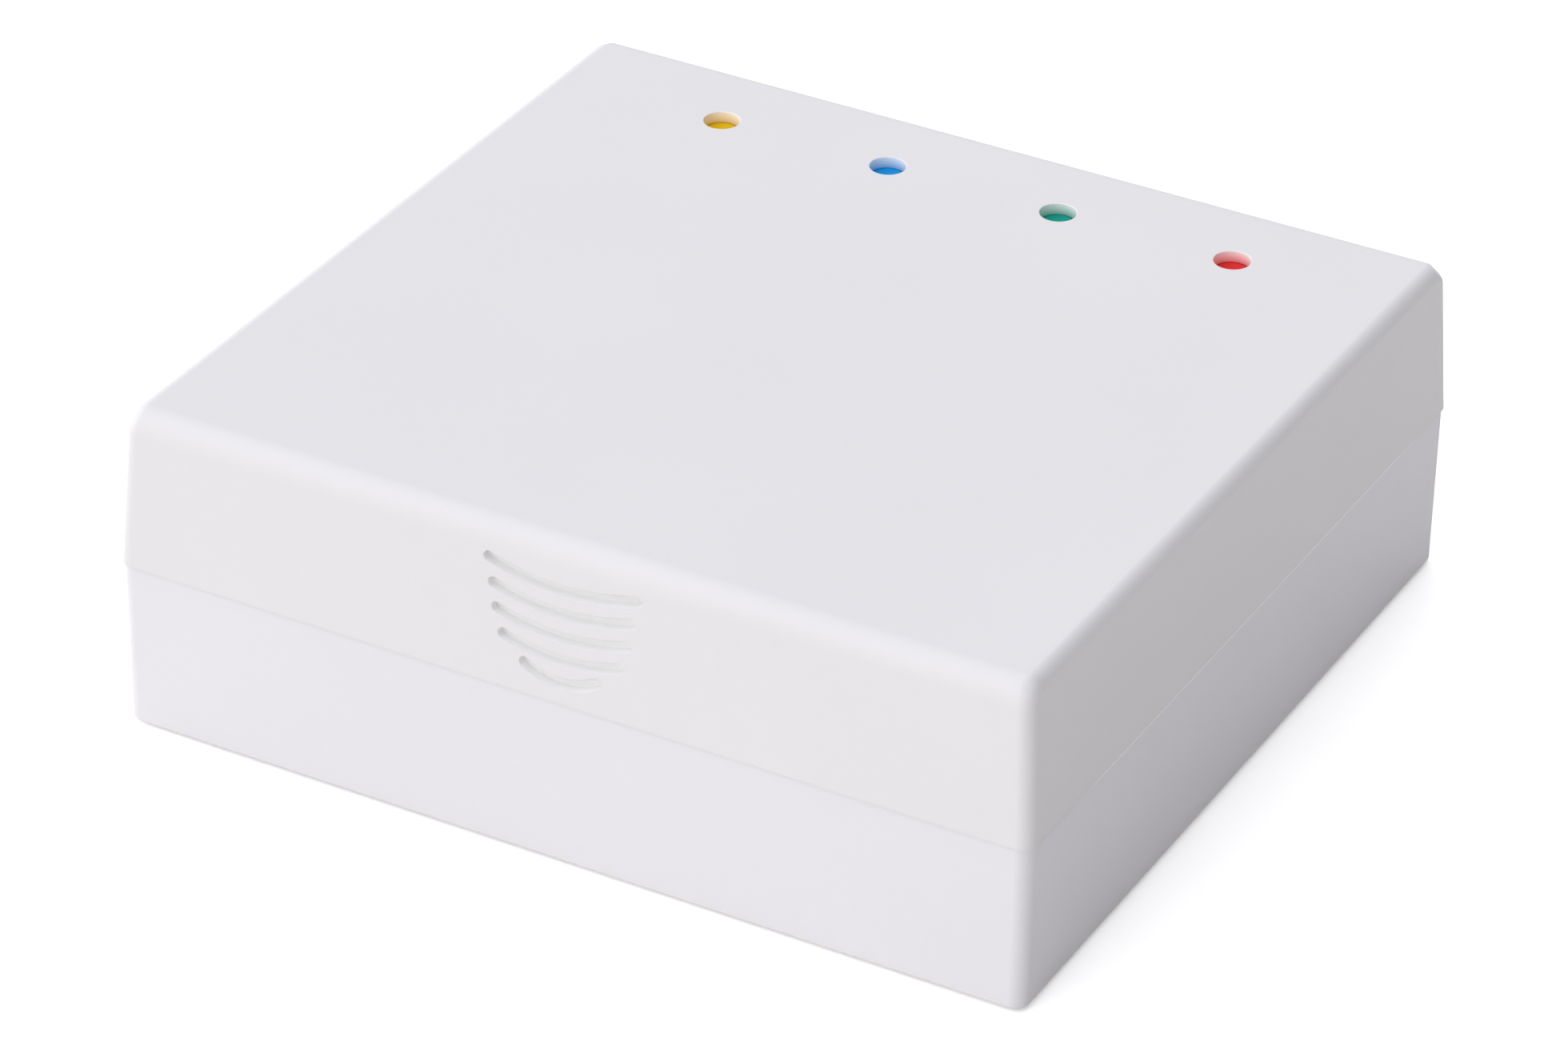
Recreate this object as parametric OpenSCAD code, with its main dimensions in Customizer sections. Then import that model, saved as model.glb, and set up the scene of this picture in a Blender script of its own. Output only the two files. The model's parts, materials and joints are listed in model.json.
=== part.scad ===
// Optical network terminal: a two-part white case with a row of coloured
// indicator lenses, smile-shaped grooves in the front wall, and the sockets,
// switches and circuit board that it holds.
// Millimetres. X runs along the front wall, -Y is the front with the grooves,
// +Y is the back with the sockets, +Z is up. The origin is the centre of the
// surface that the feet stand on.

/* [Case] */
// Width of the cover at the seam
case_w = 120; // [116:1:130]
// Depth of the cover at the seam
case_d = 113; // [110:1:124]
// Height from the underside of the base to the top of the cover
case_h = 42.2; // [41:0.2:48]
// Height of the seam above the underside
seam_h = 21.7; // [21.4:0.1:23]
// Thickness of the side walls
wall = 2; // [1.8:0.1:2.4]
// Thickness of the floor of the base
floor_t = 2; // [1.6:0.1:2.4]
// Thickness of the top panel of the cover
top_t = 2; // [1.8:0.1:2.4]
// Draft of the cover's walls in degrees
cover_draft = 3.15; // [1:0.05:4]
// Draft of the base's walls in degrees
base_draft = 0.25; // [0:0.05:1]
// Radius of the four upright corners
corner_r = 1.8; // [1.2:0.1:2.4]
// Radius rolled over the front and back top edges
front_roll = 3; // [2.2:0.1:3.4]
// Radius rolled over the left and right top edges
side_roll = 1.9; // [1.5:0.1:2.4]
// Radius of the edge round the underside
bottom_roll = 0.7; // [0.4:0.1:1]
// How far the cover stands out over the base at the seam
seam_step = 0.2; // [0.1:0.05:0.4]
// Depth of the cover's tongue inside the base
tongue_h = 1.6; // [1:0.1:2]
// Thickness of the tongue
tongue_t = 0.8; // [0.6:0.1:1]
// Thickness of the base's rim outside the tongue
rim_t = 1; // [0.8:0.1:1.1]

/* [Indicators] */
// Distance between neighbouring indicator holes
led_pitch = 23.6; // [22.6:0.1:24.6]
// Sideways place of the middle of the indicator row
led_row_x = 1; // [-1:0.5:2]
// Distance of the indicator row from the back of the cover at the seam
led_row_inset = 14.5; // [14:0.5:17]
// Diameter of an indicator hole
led_hole_d = 4.6; // [4:0.1:5]
// How far the lenses sit below the top
lens_recess = 1.4; // [1:0.1:1.6]
// Diameter of the light pipe below its lens
pipe_d = 3; // [2.4:0.1:3.2]
// Length of the sleeves under the indicator holes
sleeve_h = 3; // [2:0.5:5]

/* [Grooves] */
// Width of a groove in the front wall
groove_w = 1.35; // [1:0.05:1.6]
// Depth of a groove in the front wall
groove_depth = 1.1; // [0.6:0.1:1.2]
// Distance between neighbouring grooves
groove_pitch = 3; // [2.6:0.1:3.1]
// Height of the lowest groove above the seam
groove_low = 2.75; // [2.4:0.05:3.4]

/* [Sockets] */
// Depth of the bay in the back wall
bay_depth = 2; // [1.6:0.1:2.4]
// Width of the network socket
lan_w = 16; // [15.4:0.1:16.4]
// Height of the network socket
lan_h = 11.8; // [11.4:0.1:11.9]
// Depth of the network socket
lan_d = 15.8; // [15:0.1:18]
// Width of the plug opening in the network socket
lan_mouth_w = 11.9; // [11.7:0.1:12.1]
// Height of the plug opening in the network socket
lan_mouth_h = 6.8; // [6.7:0.1:7]
// Width of the optical socket
optic_w = 13; // [12.6:0.1:13.4]
// Height of the optical socket
optic_h = 10.6; // [10.4:0.1:11]
// Width of the plug opening in the optical socket
optic_mouth_w = 9.2; // [9.1:0.1:9.4]
// Height of the plug opening in the optical socket
optic_mouth_h = 7.6; // [7.5:0.1:7.7]
// Depth of the optical socket
optic_d = 17; // [16:0.5:19]
// Diameter of the power socket's opening
dc_bore_d = 6.4; // [6:0.1:6.6]
// Diameter of the power socket's centre pin
dc_pin_d = 2; // [1.9:0.1:2.5]
// Depth of the power socket's opening
dc_bore_l = 9.5; // [9:0.5:11]

/* [Buttons] */
// Sideways place of the power button's middle, from the right side of the base
switch_x = 15.2; // [14.8:0.1:16.3]
// Diameter of the power button
button_d = 6.6; // [6:0.1:7]
// How far the power button stands out into the bay
button_proud = 1.8; // [1.7:0.1:1.9]
// Travel of the power button
button_travel = 1.5; // [1:0.1:1.6]
// Sideways place of the reset hole's middle, from the left side of the base
reset_x = 17.8; // [15.8:0.1:19.8]
// Diameter of the reset hole
reset_hole_d = 2.2; // [1.6:0.1:2.6]
// Travel of the reset plunger
reset_travel = 0.4; // [0.2:0.1:0.5]

/* [Board] */
// Width of the circuit board
board_w = 96; // [95:1:98]
// Depth of the circuit board
board_d = 88; // [84:1:92]
// Thickness of the circuit board
board_t = 1.6; // [1.2:0.2:1.6]
// Height of the posts under the board
post_h = 3; // [2.6:0.1:3]
// Diameter of the screws that hold the board
board_screw_d = 2.5; // [2:0.1:3]

/* [Fixings] */
// Height of the feet below the base
foot_stand = 0.5; // [0.3:0.1:1]
// Diameter of a foot
foot_d = 9; // [7:0.5:10]
// Depth of the pocket that holds a foot
foot_pocket = 0.8; // [0.5:0.1:1]
// Diameter of the case screws
screw_d = 3; // [2.6:0.1:3.2]
// Diameter of the heads of the case screws
screw_head_d = 5.4; // [5:0.1:5.6]
// Length of the case screws under the head
screw_l = 15; // [12:1:18]
// Distance between the two wall-hanging keyholes
keyhole_pitch = 64; // [50:1:70]
// Diameter of the wide end of a keyhole
keyhole_d = 7.6; // [7:0.2:9]
// Width of the narrow end of a keyhole
keyhole_slot = 3.8; // [3:0.1:4.5]

/* [Hidden] */
$fn = 48;
hull_fn = 40;
eps = 0.01;

// Fits
fit_gap = 0.1;
free_gap = 0.3;
pin_gap = 0.05;

// How far a cut reaches past a surface, and how far joined pieces reach into each other
past = 1;
sink = 0.5;

// Heights
base_z = foot_stand;
floor_z = base_z + floor_t;
board_z = floor_z + post_h;
board_top = board_z + board_t;
seam_z = base_z + seam_h;
top_z = base_z + case_h;
ceiling_z = top_z - top_t;
rebate_z = seam_z - tongue_h - fit_gap;
column_z = seam_z - 3;

// Outlines: half sizes of cover and base at any height
cover_half = [case_w / 2, case_d / 2];
base_half = [case_w / 2 - seam_step, case_d / 2 - seam_step];
function cover_at(z) = cover_half - [1, 1] * (z - seam_z) * tan(cover_draft);
function base_at(z) = base_half - [1, 1] * (seam_z - z) * tan(base_draft);

// Back wall, bay and sockets
bay_y = base_half.y - bay_depth;
panel_y = bay_y - wall;
socket_y = panel_y - free_gap;
bay_low = board_top - 2.6;
bay_high = rebate_z - 1.2;
bay_side = 9;
bay_half_w = base_half.x - bay_side;
bay_corner_r = 2;
window_gap = 0.2;
window_corner_r = 0.6;
dc_lip = 1.8;
lan_x = led_row_x - led_pitch;
optic_x = led_row_x;
dc_x = led_row_x + led_pitch;
optic_floor_t = optic_h - optic_mouth_h - 1;
optic_axis_z = board_top + optic_floor_t + optic_mouth_h / 2;
dc_w = 9;
dc_h = 11;
dc_d = 14;
dc_axis_z = board_top + dc_h / 2;
switch_mid = base_half.x - switch_x;
reset_mid = reset_x - base_half.x;
switch_size = [8.2, 9, 8.2];
switch_axis_z = board_top + switch_size.z / 2;
switch_front_y = socket_y - button_travel - 1.6;
button_flange_d = button_d + 1.6;
button_flange_t = 1;
stem_w = 3;
stem_l = 4;
reset_size = [6, 3.6, 3.6];
reset_axis_z = board_top + reset_size.z / 2;
plunger_d = 1.8;
plunger_l = 1.2;
plunger_bore_l = 2;
reset_front_y = socket_y - plunger_l - 0.5;

// Board
board_back = socket_y - 0.6;
board_mid_y = board_back - board_d / 2;
board_post_inset = 4;
board_post_x = board_w / 2 - board_post_inset;
board_post_back = 26;
board_post_front = 4.5;
board_post_y = [board_back - board_post_back, board_back - board_d + board_post_front];
post_d = 6.4;
board_hole_gap = 0.5;
board_head_d = 4.6;
board_head_t = 1.6;
board_cross_w = 2.2;

// Indicators
led_y = cover_half.y - led_row_inset;
led_size = [3.5, 2.8, 1.9];
led_window_d = 2.2;
led_window_depth = 0.3;
sleeve_t = 1.5;
sleeve_d = led_hole_d + 2 * sleeve_t;
lens_top = top_z - lens_recess;
pipe_low = board_top + led_size.z + free_gap;
pipe_flange_t = 0.8;

// Inside corners of cover and base
inner_r = corner_r - 1;
inner_roll = 1.2;
floor_roll = 0.4;
rim_r = corner_r - 0.6;
tongue_inner_r = corner_r - 0.8;

// Case screws, their columns and bosses, and the webs that tie these to the walls
screw_inset = 4.4;
screw_place = [base_half.x - wall - screw_inset, base_half.y - wall - screw_inset];
column_d = screw_head_d + 2.6;
cover_boss_d = 6.4;
web_t = 1.2;
cover_web_l = screw_inset + wall - 1.2;
cover_web_rise = 4;
base_web_l = screw_inset + wall - 1;
well_d = screw_head_d + 2 * free_gap;
shank_d = screw_d + 4 * fit_gap;
pilot_past_tip = 1;
screw_well = 9;
screw_seat_z = base_z + screw_well;
screw_head_t = 2;
head_round = 0.6;
cross_w = 2.8;
cross_t = 0.7;

// Feet and keyholes
foot_inset = [13, 17];
foot_place = base_half - foot_inset;
foot_chamfer = 0.4;
foot_pad_rim = 1.5;
keyhole_run = 6;
keyhole_pad_rim = 2;
keyhole_pad_t = 0.8;

// Stiffening ribs under the top panel
rib_h = 3;
rib_t = 1.2;
rib_y = [-30, -6, 18];
rib_x = 28;
rib_along = [-12, 60];

// Vent slots in the floor
vent_w = 1.6;
vent_l = 18;
vent_pitch = 2.5 * vent_w;
vent_count = 13;
vent_y = [-28, 26];

// Groove radii and half lengths, from the lowest groove to the highest
groove_r = [8.6, 24.5, 28, 30, 30];
groove_half = [4.6, 7.5, 8.4, 8.9, 9.6];

// ---- Shared shapes ----

// Children on both sides of the YZ plane
module both_x() {
    for (side = [0, 1]) mirror([side, 0, 0]) children();
}

// Children on both sides of the XZ plane
module both_y() {
    for (side = [0, 1]) mirror([0, side, 0]) children();
}

// Children in all four quarters
module four() {
    both_x() both_y() children();
}

// Flat rectangle with round corners, exact arcs
module round_rect(half, r) {
    square([2 * half.x, 2 * (half.y - r)], center = true);
    square([2 * (half.x - r), 2 * half.y], center = true);
    four() translate([half.x - r, half.y - r]) circle(r = r);
}

// Upright block with its low corner at z
module block(size, centre, z) {
    translate([centre.x - size.x / 2, centre.y - size.y / 2, z]) cube(size);
}

// Cylinder along Y from y_low to y_high
module bar_y(x, y_low, y_high, z, d) {
    translate([x, y_high, z]) rotate([90, 0, 0]) cylinder(d = d, h = y_high - y_low);
}

// Case body: straight drafted walls, round upright corners and rolled top edges.
// inset moves every face inwards, drop lowers the top.
module cover_form(z_low, inset, drop, corner, roll_y, roll_x) {
    z_high = top_z - drop;
    low = cover_at(z_low) - [inset, inset];
    roll_y_at = cover_at(z_high - roll_y).y - inset - roll_y;
    roll_x_at = cover_at(z_high - roll_x).x - inset - roll_x;
    shoulder_z = z_high - roll_y;
    shoulder = cover_at(shoulder_z) - [inset + corner, inset + corner];
    hull() {
        four() translate([low.x - corner, low.y - corner, z_low])
            cylinder(r = corner, h = eps, $fn = hull_fn);
        four() translate([shoulder.x, shoulder.y, shoulder_z]) sphere(r = corner, $fn = hull_fn);
        both_y() translate([0, roll_y_at, z_high - roll_y]) rotate([0, 90, 0])
            cylinder(r = roll_y, h = 2 * roll_x_at, center = true, $fn = hull_fn);
        both_x() translate([roll_x_at, 0, z_high - roll_x]) rotate([90, 0, 0])
            cylinder(r = roll_x, h = 2 * roll_y_at, center = true, $fn = hull_fn);
    }
}

// Base body: nearly upright walls and a small roll round the underside
module base_form(z_low, z_high, inset, corner, roll) {
    low = base_at(z_low + roll) - [inset + corner, inset + corner];
    high = base_at(z_high) - [inset + corner, inset + corner];
    hull() {
        four() translate([high.x, high.y, z_high - eps])
            cylinder(r = corner, h = eps, $fn = hull_fn);
        four() translate([low.x, low.y, z_low + roll])
            cylinder(r = corner, h = eps, $fn = hull_fn);
        for (turn = [30, 60, 90]) four()
            translate([low.x, low.y, z_low + roll * (1 - sin(turn))])
            cylinder(r = corner - roll * (1 - cos(turn)), h = eps, $fn = hull_fn);
    }
}

// Flat smile: an arc of a ring with round ends, its lowest point at the origin.
// The ends are a hair wider than the arc, so that the outlines cross.
module smile(r, half, w) {
    sweep = asin(half / r);
    translate([0, r]) {
        intersection() {
            difference() {
                circle(r = r + w / 2, $fn = 128);
                circle(r = r - w / 2, $fn = 128);
            }
            polygon([[0, 0], [-3 * r * sin(sweep), -3 * r * cos(sweep)],
                [3 * r * sin(sweep), -3 * r * cos(sweep)]]);
        }
        for (side = [-1, 1])
            translate([side * half, -r * cos(sweep)]) circle(d = w + 2 * eps);
    }
}

// ---- Case ----

module top_cover() color([0.93, 0.93, 0.94]) {
    difference() {
        cover_form(seam_z, 0, 0, corner_r, front_roll, side_roll);
        translate([0, 0, -eps])
            cover_form(seam_z, wall, top_t + eps, inner_r, inner_roll, inner_roll);
        for (i = [0:3]) translate([led_x(i), led_y, ceiling_z - past])
            cylinder(d = led_hole_d, h = top_t + 2 * past);
        for (i = [0:len(groove_r) - 1]) front_groove(i);
    }
    cover_tongue();
    for (i = [0:3]) cover_sleeve(i);
    four() cover_boss();
    cover_ribs();
}

function led_x(i) = led_row_x + (i - 1.5) * led_pitch;

module front_groove(i) {
    z = seam_z + groove_low + i * groove_pitch;
    face_y = cover_at(z).y;
    lean = tan(cover_draft) * groove_half[i];
    translate([0, -face_y + groove_depth, z]) rotate([90, 0, 0])
        linear_extrude(groove_depth + lean + past) smile(groove_r[i], groove_half[i], groove_w);
}

module cover_tongue() {
    outer = base_half - [1, 1] * (rim_t + fit_gap);
    translate([0, 0, seam_z - tongue_h]) linear_extrude(tongue_h + 2 * sink) difference() {
        round_rect(outer, rim_r);
        round_rect(outer - [1, 1] * tongue_t, tongue_inner_r);
    }
}

module cover_sleeve(i) {
    translate([led_x(i), led_y, ceiling_z - sleeve_h]) difference() {
        cylinder(d = sleeve_d, h = sleeve_h + sink);
        translate([0, 0, -past]) cylinder(d = led_hole_d, h = sleeve_h + sink + 2 * past);
    }
}

module cover_boss() {
    boss_h = ceiling_z - column_z;
    pilot_l = screw_seat_z + screw_l + pilot_past_tip - column_z;
    translate([screw_place.x, screw_place.y, column_z]) difference() {
        union() {
            cylinder(d = cover_boss_d, h = boss_h + sink);
            translate([0, 0, cover_web_rise]) corner_webs(cover_web_l, boss_h - cover_web_rise);
        }
        translate([0, 0, -eps]) cylinder(d = screw_d + 2 * pin_gap, h = pilot_l);
    }
}

// Two upright webs from a column to the side wall and to the end wall
module corner_webs(reach, h) {
    translate([0, -web_t / 2, 0]) cube([reach, web_t, h]);
    translate([-web_t / 2, 0, 0]) cube([web_t, reach, h]);
}

// Stiffening ribs under the top panel, clear of sleeves and bosses
module cover_ribs() {
    across = 2 * (cover_at(ceiling_z).x - 2 * wall);
    for (y = rib_y)
        block([across, rib_t, rib_h + sink], [0, y], ceiling_z - rib_h);
    both_x() block([rib_t, rib_along[1] + rib_t, rib_h + sink], [rib_x, rib_along[0]],
        ceiling_z - rib_h);
}

module base_shell() color([0.93, 0.93, 0.94]) {
    difference() {
        union() {
            difference() {
                base_form(base_z, seam_z, 0, corner_r, bottom_roll);
                base_form(floor_z, seam_z + past, wall, inner_r, floor_roll);
                base_rebate();
            }
            back_panel();
            four() base_column();
            board_posts();
            four() foot_pad();
            keyhole_pads();
        }
        back_bay();
        socket_cuts();
        four() boss_relief();
        four() screw_well();
        board_pilots();
        four() foot_hole();
        both_x() translate([keyhole_pitch / 2, 0, 0]) keyhole();
        floor_vents();
    }
}

module base_rebate() {
    outer = base_half - [rim_t, rim_t];
    translate([0, 0, rebate_z]) linear_extrude(tongue_h + past) round_rect(outer, rim_r);
}

// Thick inner panel that carries the bay in the back wall
module back_panel() {
    depth = base_half.y - rim_t - panel_y;
    block([2 * (bay_half_w + wall), depth, rebate_z - floor_z + 2 * sink],
        [0, panel_y + depth / 2], floor_z - 2 * sink);
}

// Shallow bay with round corners, open to the back
module back_bay() {
    half = [bay_half_w, (bay_high - bay_low) / 2];
    translate([0, base_half.y + past, (bay_high + bay_low) / 2]) rotate([90, 0, 0])
        linear_extrude(bay_depth + past) round_rect(half, bay_corner_r);
}

// Window for one socket, through the panel
module window(x, w, z_low, h) {
    half = [w / 2 + window_gap, h / 2 + window_gap];
    translate([x, bay_y + past, z_low + h / 2]) rotate([90, 0, 0])
        linear_extrude(wall + 2 * past) round_rect(half, window_corner_r);
}

module socket_cuts() {
    window(lan_x, lan_w, board_top, lan_h);
    window(optic_x, optic_w, board_top, optic_h);
    panel_hole(dc_x, dc_axis_z, dc_bore_d + dc_lip);
    panel_hole(switch_mid, switch_axis_z, button_d + 2 * free_gap);
    panel_hole(reset_mid, reset_axis_z, reset_hole_d);
}

// Round hole through the panel
module panel_hole(x, z, d) {
    bar_y(x, panel_y - past, bay_y + past, z, d);
}

module base_column() {
    translate([screw_place.x, screw_place.y, floor_z - sink]) {
        cylinder(d = column_d, h = column_z - floor_z + sink);
        corner_webs(base_web_l, column_z - floor_z - 1);
    }
}

// Room for the cover's boss above its column
module boss_relief() {
    translate([screw_place.x, screw_place.y, column_z])
        cylinder(d = cover_boss_d + 2 * free_gap, h = seam_z - column_z + past);
}

module screw_well() {
    translate([screw_place.x, screw_place.y, base_z - past]) {
        cylinder(d = well_d, h = screw_seat_z - base_z + past);
        cylinder(d = shank_d, h = column_z - base_z + 2 * past);
    }
}

module board_posts() {
    for (y = board_post_y) both_x() translate([board_post_x, y, floor_z - sink])
        cylinder(d = post_d, h = post_h + sink);
}

module board_pilots() {
    skin_t = 0.8;
    for (y = board_post_y) both_x() translate([board_post_x, y, base_z + skin_t])
        cylinder(d = board_screw_d + 2 * pin_gap, h = floor_t + post_h);
}

module foot_pad() {
    translate([foot_place.x, foot_place.y, floor_z - sink])
        cylinder(d = foot_d + 2 * foot_pad_rim, h = sink + foot_pocket / 2);
}

module foot_hole() {
    translate([foot_place.x, foot_place.y, base_z - past])
        cylinder(d = foot_d + 2 * fit_gap, h = past + foot_pocket);
}

// Raised floor round each keyhole
module keyhole_pads() {
    size = [keyhole_d, keyhole_d + keyhole_run, sink + keyhole_pad_t]
        + [2, 2, 0] * keyhole_pad_rim;
    both_x() block(size, [keyhole_pitch / 2, keyhole_run / 2], floor_z - sink);
}

module keyhole() {
    h = floor_t + keyhole_pad_t + 2 * past;
    translate([0, 0, base_z - past]) {
        cylinder(d = keyhole_d, h = h);
        translate([0, keyhole_run, 0]) cylinder(d = keyhole_slot, h = h);
        translate([-keyhole_slot / 2, 0, 0]) cube([keyhole_slot, keyhole_run, h]);
    }
}

// Two fields of slots in the floor under the board
module floor_vents() {
    h = floor_t + 2 * past;
    straight_l = vent_l - vent_w;
    for (y = vent_y) for (i = [0:vent_count - 1])
        translate([(i - (vent_count - 1) / 2) * vent_pitch, y, base_z - past]) {
            block([vent_w, straight_l, h], [0, 0], 0);
            both_y() translate([0, straight_l / 2, 0]) cylinder(d = vent_w, h = h);
        }
}

module rubber_feet() color([0.32, 0.32, 0.33]) four()
    translate([foot_place.x, foot_place.y, 0]) rotate_extrude()
        polygon([[0, 0], [foot_d / 2 - foot_chamfer, 0], [foot_d / 2, foot_chamfer],
            [foot_d / 2, foot_stand + foot_pocket], [0, foot_stand + foot_pocket]]);

module case_screws() color([0.72, 0.72, 0.74]) four()
    translate([screw_place.x, screw_place.y, screw_seat_z]) difference() {
        union() {
            cylinder(d = screw_d, h = screw_l);
            translate([0, 0, -screw_head_t]) rotate_extrude() pan_head(screw_head_d, screw_head_t);
        }
        cross_recess(screw_head_t, cross_w);
    }

// Half section of a pan head, its seat at the top
module pan_head(d, t) {
    polygon([[0, 0], [d / 2 - head_round, 0], [d / 2, head_round], [d / 2, t], [0, t]]);
}

module cross_recess(t, w) {
    depth = 0.6 * t;
    for (turn = [0, 90]) rotate([0, 0, turn])
        translate([-w / 2, -cross_t / 2, -t - past]) cube([w, cross_t, past + depth]);
}

// ---- Indicators ----

// Lens and light pipe in one piece: a plug in the sleeve, a flange under it,
// and a rod down to the lamp on the board
module light_pipe(i) {
    flange_z = ceiling_z - sleeve_h - pipe_flange_t;
    translate([led_x(i), led_y, 0]) {
        translate([0, 0, flange_z]) cylinder(d = led_hole_d - 2 * pin_gap, h = lens_top - flange_z);
        translate([0, 0, flange_z]) cylinder(d = sleeve_d - 2 * free_gap, h = pipe_flange_t);
        translate([0, 0, pipe_low]) cylinder(d = pipe_d, h = flange_z - pipe_low + sink);
    }
}

module light_pipe_yellow() color([0.9, 0.72, 0.02]) light_pipe(0);
module light_pipe_blue() color([0.02, 0.55, 0.84]) light_pipe(1);
module light_pipe_green() color([0.04, 0.6, 0.52]) light_pipe(2);
module light_pipe_red() color([0.88, 0.14, 0.14]) light_pipe(3);

module status_leds() color([0.95, 0.94, 0.88]) for (i = [0:3])
    translate([led_x(i), led_y, board_top]) difference() {
        block(led_size, [0, 0], 0);
        translate([0, 0, led_size.z - led_window_depth]) cylinder(d = led_window_d, h = past);
    }

// ---- Board ----

module main_board() color([0.05, 0.33, 0.16]) difference() {
    block([board_w, board_d, board_t], [0, board_mid_y], board_z);
    for (y = board_post_y) both_x() translate([board_post_x, y, board_z - past])
        cylinder(d = board_screw_d + board_hole_gap, h = board_t + 2 * past);
    all_legs(2 * fit_gap);
}

leg_reach = 1.2;
leg_sink = 0.1;
thin_leg_d = 0.9;
stout_leg_d = 1.6;
lan_leg_d = 2;
lan_leg_place = [5.7, 8.4];
optic_leg_place = [4, 3];
dc_leg_place = [[0, 4], [0, dc_d - 1.5], [-3.6, 8]];
switch_leg_x = [-2.5, 0, 2.5];
switch_leg_y = [2.5, 6.5];
reset_leg_x = 2.2;

// Legs of one socket or switch, reaching down through the board and out below it
module legs(places, d) {
    for (place = places) translate([place.x, place.y, board_z - leg_reach])
        cylinder(d = d, h = board_t + leg_reach + leg_sink);
}

module lan_legs(extra) {
    legs([for (side = [-1, 1]) [lan_x + side * lan_leg_place.x, socket_y - lan_leg_place.y]],
        lan_leg_d + extra);
}

module optic_legs(extra) {
    legs([for (side = [-1, 1]) [optic_x + side * optic_leg_place.x,
        optic_back + optic_leg_place.y]], stout_leg_d + extra);
}

module dc_legs(extra) {
    legs([for (place = dc_leg_place) [dc_x + place.x, socket_y - place.y]], stout_leg_d + extra);
}

module switch_legs(extra) {
    legs([for (x = switch_leg_x) for (y = switch_leg_y) [switch_mid + x, switch_front_y - y]],
        thin_leg_d + extra);
}

module reset_legs(extra) {
    legs([for (side = [-1, 1]) [reset_mid + side * reset_leg_x, reset_front_y - reset_size.y / 2]],
        thin_leg_d + extra);
}

module all_legs(extra) {
    lan_legs(extra);
    optic_legs(extra);
    dc_legs(extra);
    switch_legs(extra);
    reset_legs(extra);
}

module board_screws() color([0.75, 0.75, 0.77]) for (y = board_post_y) both_x()
    translate([board_post_x, y, board_top]) mirror([0, 0, 1]) difference() {
        union() {
            cylinder(d = board_screw_d, h = board_t + post_h);
            translate([0, 0, -board_head_t]) rotate_extrude()
                pan_head(board_head_d, board_head_t);
        }
        cross_recess(board_head_t, board_cross_w);
    }

// ---- Network socket ----

lan_skin = 0.3;
lan_setback = 0.4;
lan_mid_z = board_top + lan_h / 2;
lan_mouth_z = board_top + 3.4;
lan_mouth_depth = 11.5;
lan_frame = [1.6, 2.2];
latch_w = 6.2;
latch_h = 1.5;
catch_w = 3.4;
catch_h = 0.9;
clip_slot = [1, 3, 1.2];
clip_place = [5, 5];
contact_count = 8;
contact_pitch = 1.02;
contact_w = 0.36;
contact_slot = [0.6, 5.2, 1.6];
contact_back = 9.8;

// Outline of the plug opening: wide part with a stepped notch for the latch below
module lan_mouth() {
    translate([-lan_mouth_w / 2, 0]) square([lan_mouth_w, lan_mouth_h]);
    translate([-latch_w / 2, -latch_h]) square([latch_w, latch_h + past]);
    translate([-catch_w / 2, -latch_h - catch_h]) square([catch_w, latch_h + past]);
}

module lan_jack_housing() color([0.12, 0.12, 0.13]) {
    size = [lan_w, lan_d, lan_h] - [2, 1, 1] * (lan_skin + pin_gap);
    front_y = socket_y - lan_setback;
    difference() {
        block(size, [lan_x, front_y - size.y / 2], board_top);
        translate([lan_x, front_y + past, lan_mouth_z]) rotate([90, 0, 0])
            linear_extrude(lan_mouth_depth + past) lan_mouth();
        for (i = [0:contact_count - 1])
            block(contact_slot, [lan_x + contact_x(i), front_y - contact_back],
                lan_mouth_z + lan_mouth_h - sink);
    }
    lan_legs(0);
}

// Folded metal shell round the housing, open at the front and the bottom
module lan_jack_shield() color([0.78, 0.79, 0.8]) difference() {
    block([lan_w, lan_d, lan_h], [lan_x, socket_y - lan_d / 2], board_top);
    block([lan_w - 2 * lan_skin, lan_d, lan_h - lan_skin + past],
        [lan_x, socket_y - lan_d / 2 - lan_skin], board_top - past);
    for (side = [-1, 1]) block(clip_slot,
        [lan_x + side * lan_w / 2, socket_y - clip_place[0]], board_top + clip_place[1]);
    translate([lan_x, socket_y + past, lan_mid_z]) rotate([90, 0, 0]) linear_extrude(3 * past)
        square([lan_mouth_w, lan_h] + [lan_frame.x, -lan_frame.y], center = true);
}

function contact_x(i) = (i - (contact_count - 1) / 2) * contact_pitch;

// Eight sprung wires that slope down into the plug opening from its roof
module lan_jack_contacts() color([0.85, 0.68, 0.25]) {
    back = socket_y - lan_setback - contact_back;
    roof = lan_mouth_z + lan_mouth_h;
    for (i = [0:contact_count - 1]) translate([lan_x + contact_x(i) - contact_w / 2, back, roof])
        rotate([90, 0, 90]) linear_extrude(contact_w)
            polygon([[0, 0.9], [0, 0.45], [5.8, -2.1], [6, -1.7], [0.3, 0.9]]);
}

// ---- Optical socket ----

optic_front = socket_y;
optic_back = optic_front - optic_d;
optic_wall = 1.5;
key_size = [2.6, 5, 0.5];
shutter_t = 0.5;
shutter_y = optic_front - 1.6;
shutter_pin_d = 0.8;
shutter_pin_l = optic_w - 0.4;
barrel_d = shutter_pin_d + 0.34;
recess_depth = 1.15;
recess_front = 0.8;
recess_back = 0.5;
shutter_pin_z = board_top + optic_floor_t - recess_depth / 2;
shutter_top = board_top + optic_floor_t + optic_mouth_h - free_gap;
shutter_reach = shutter_top - shutter_pin_z;

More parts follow.
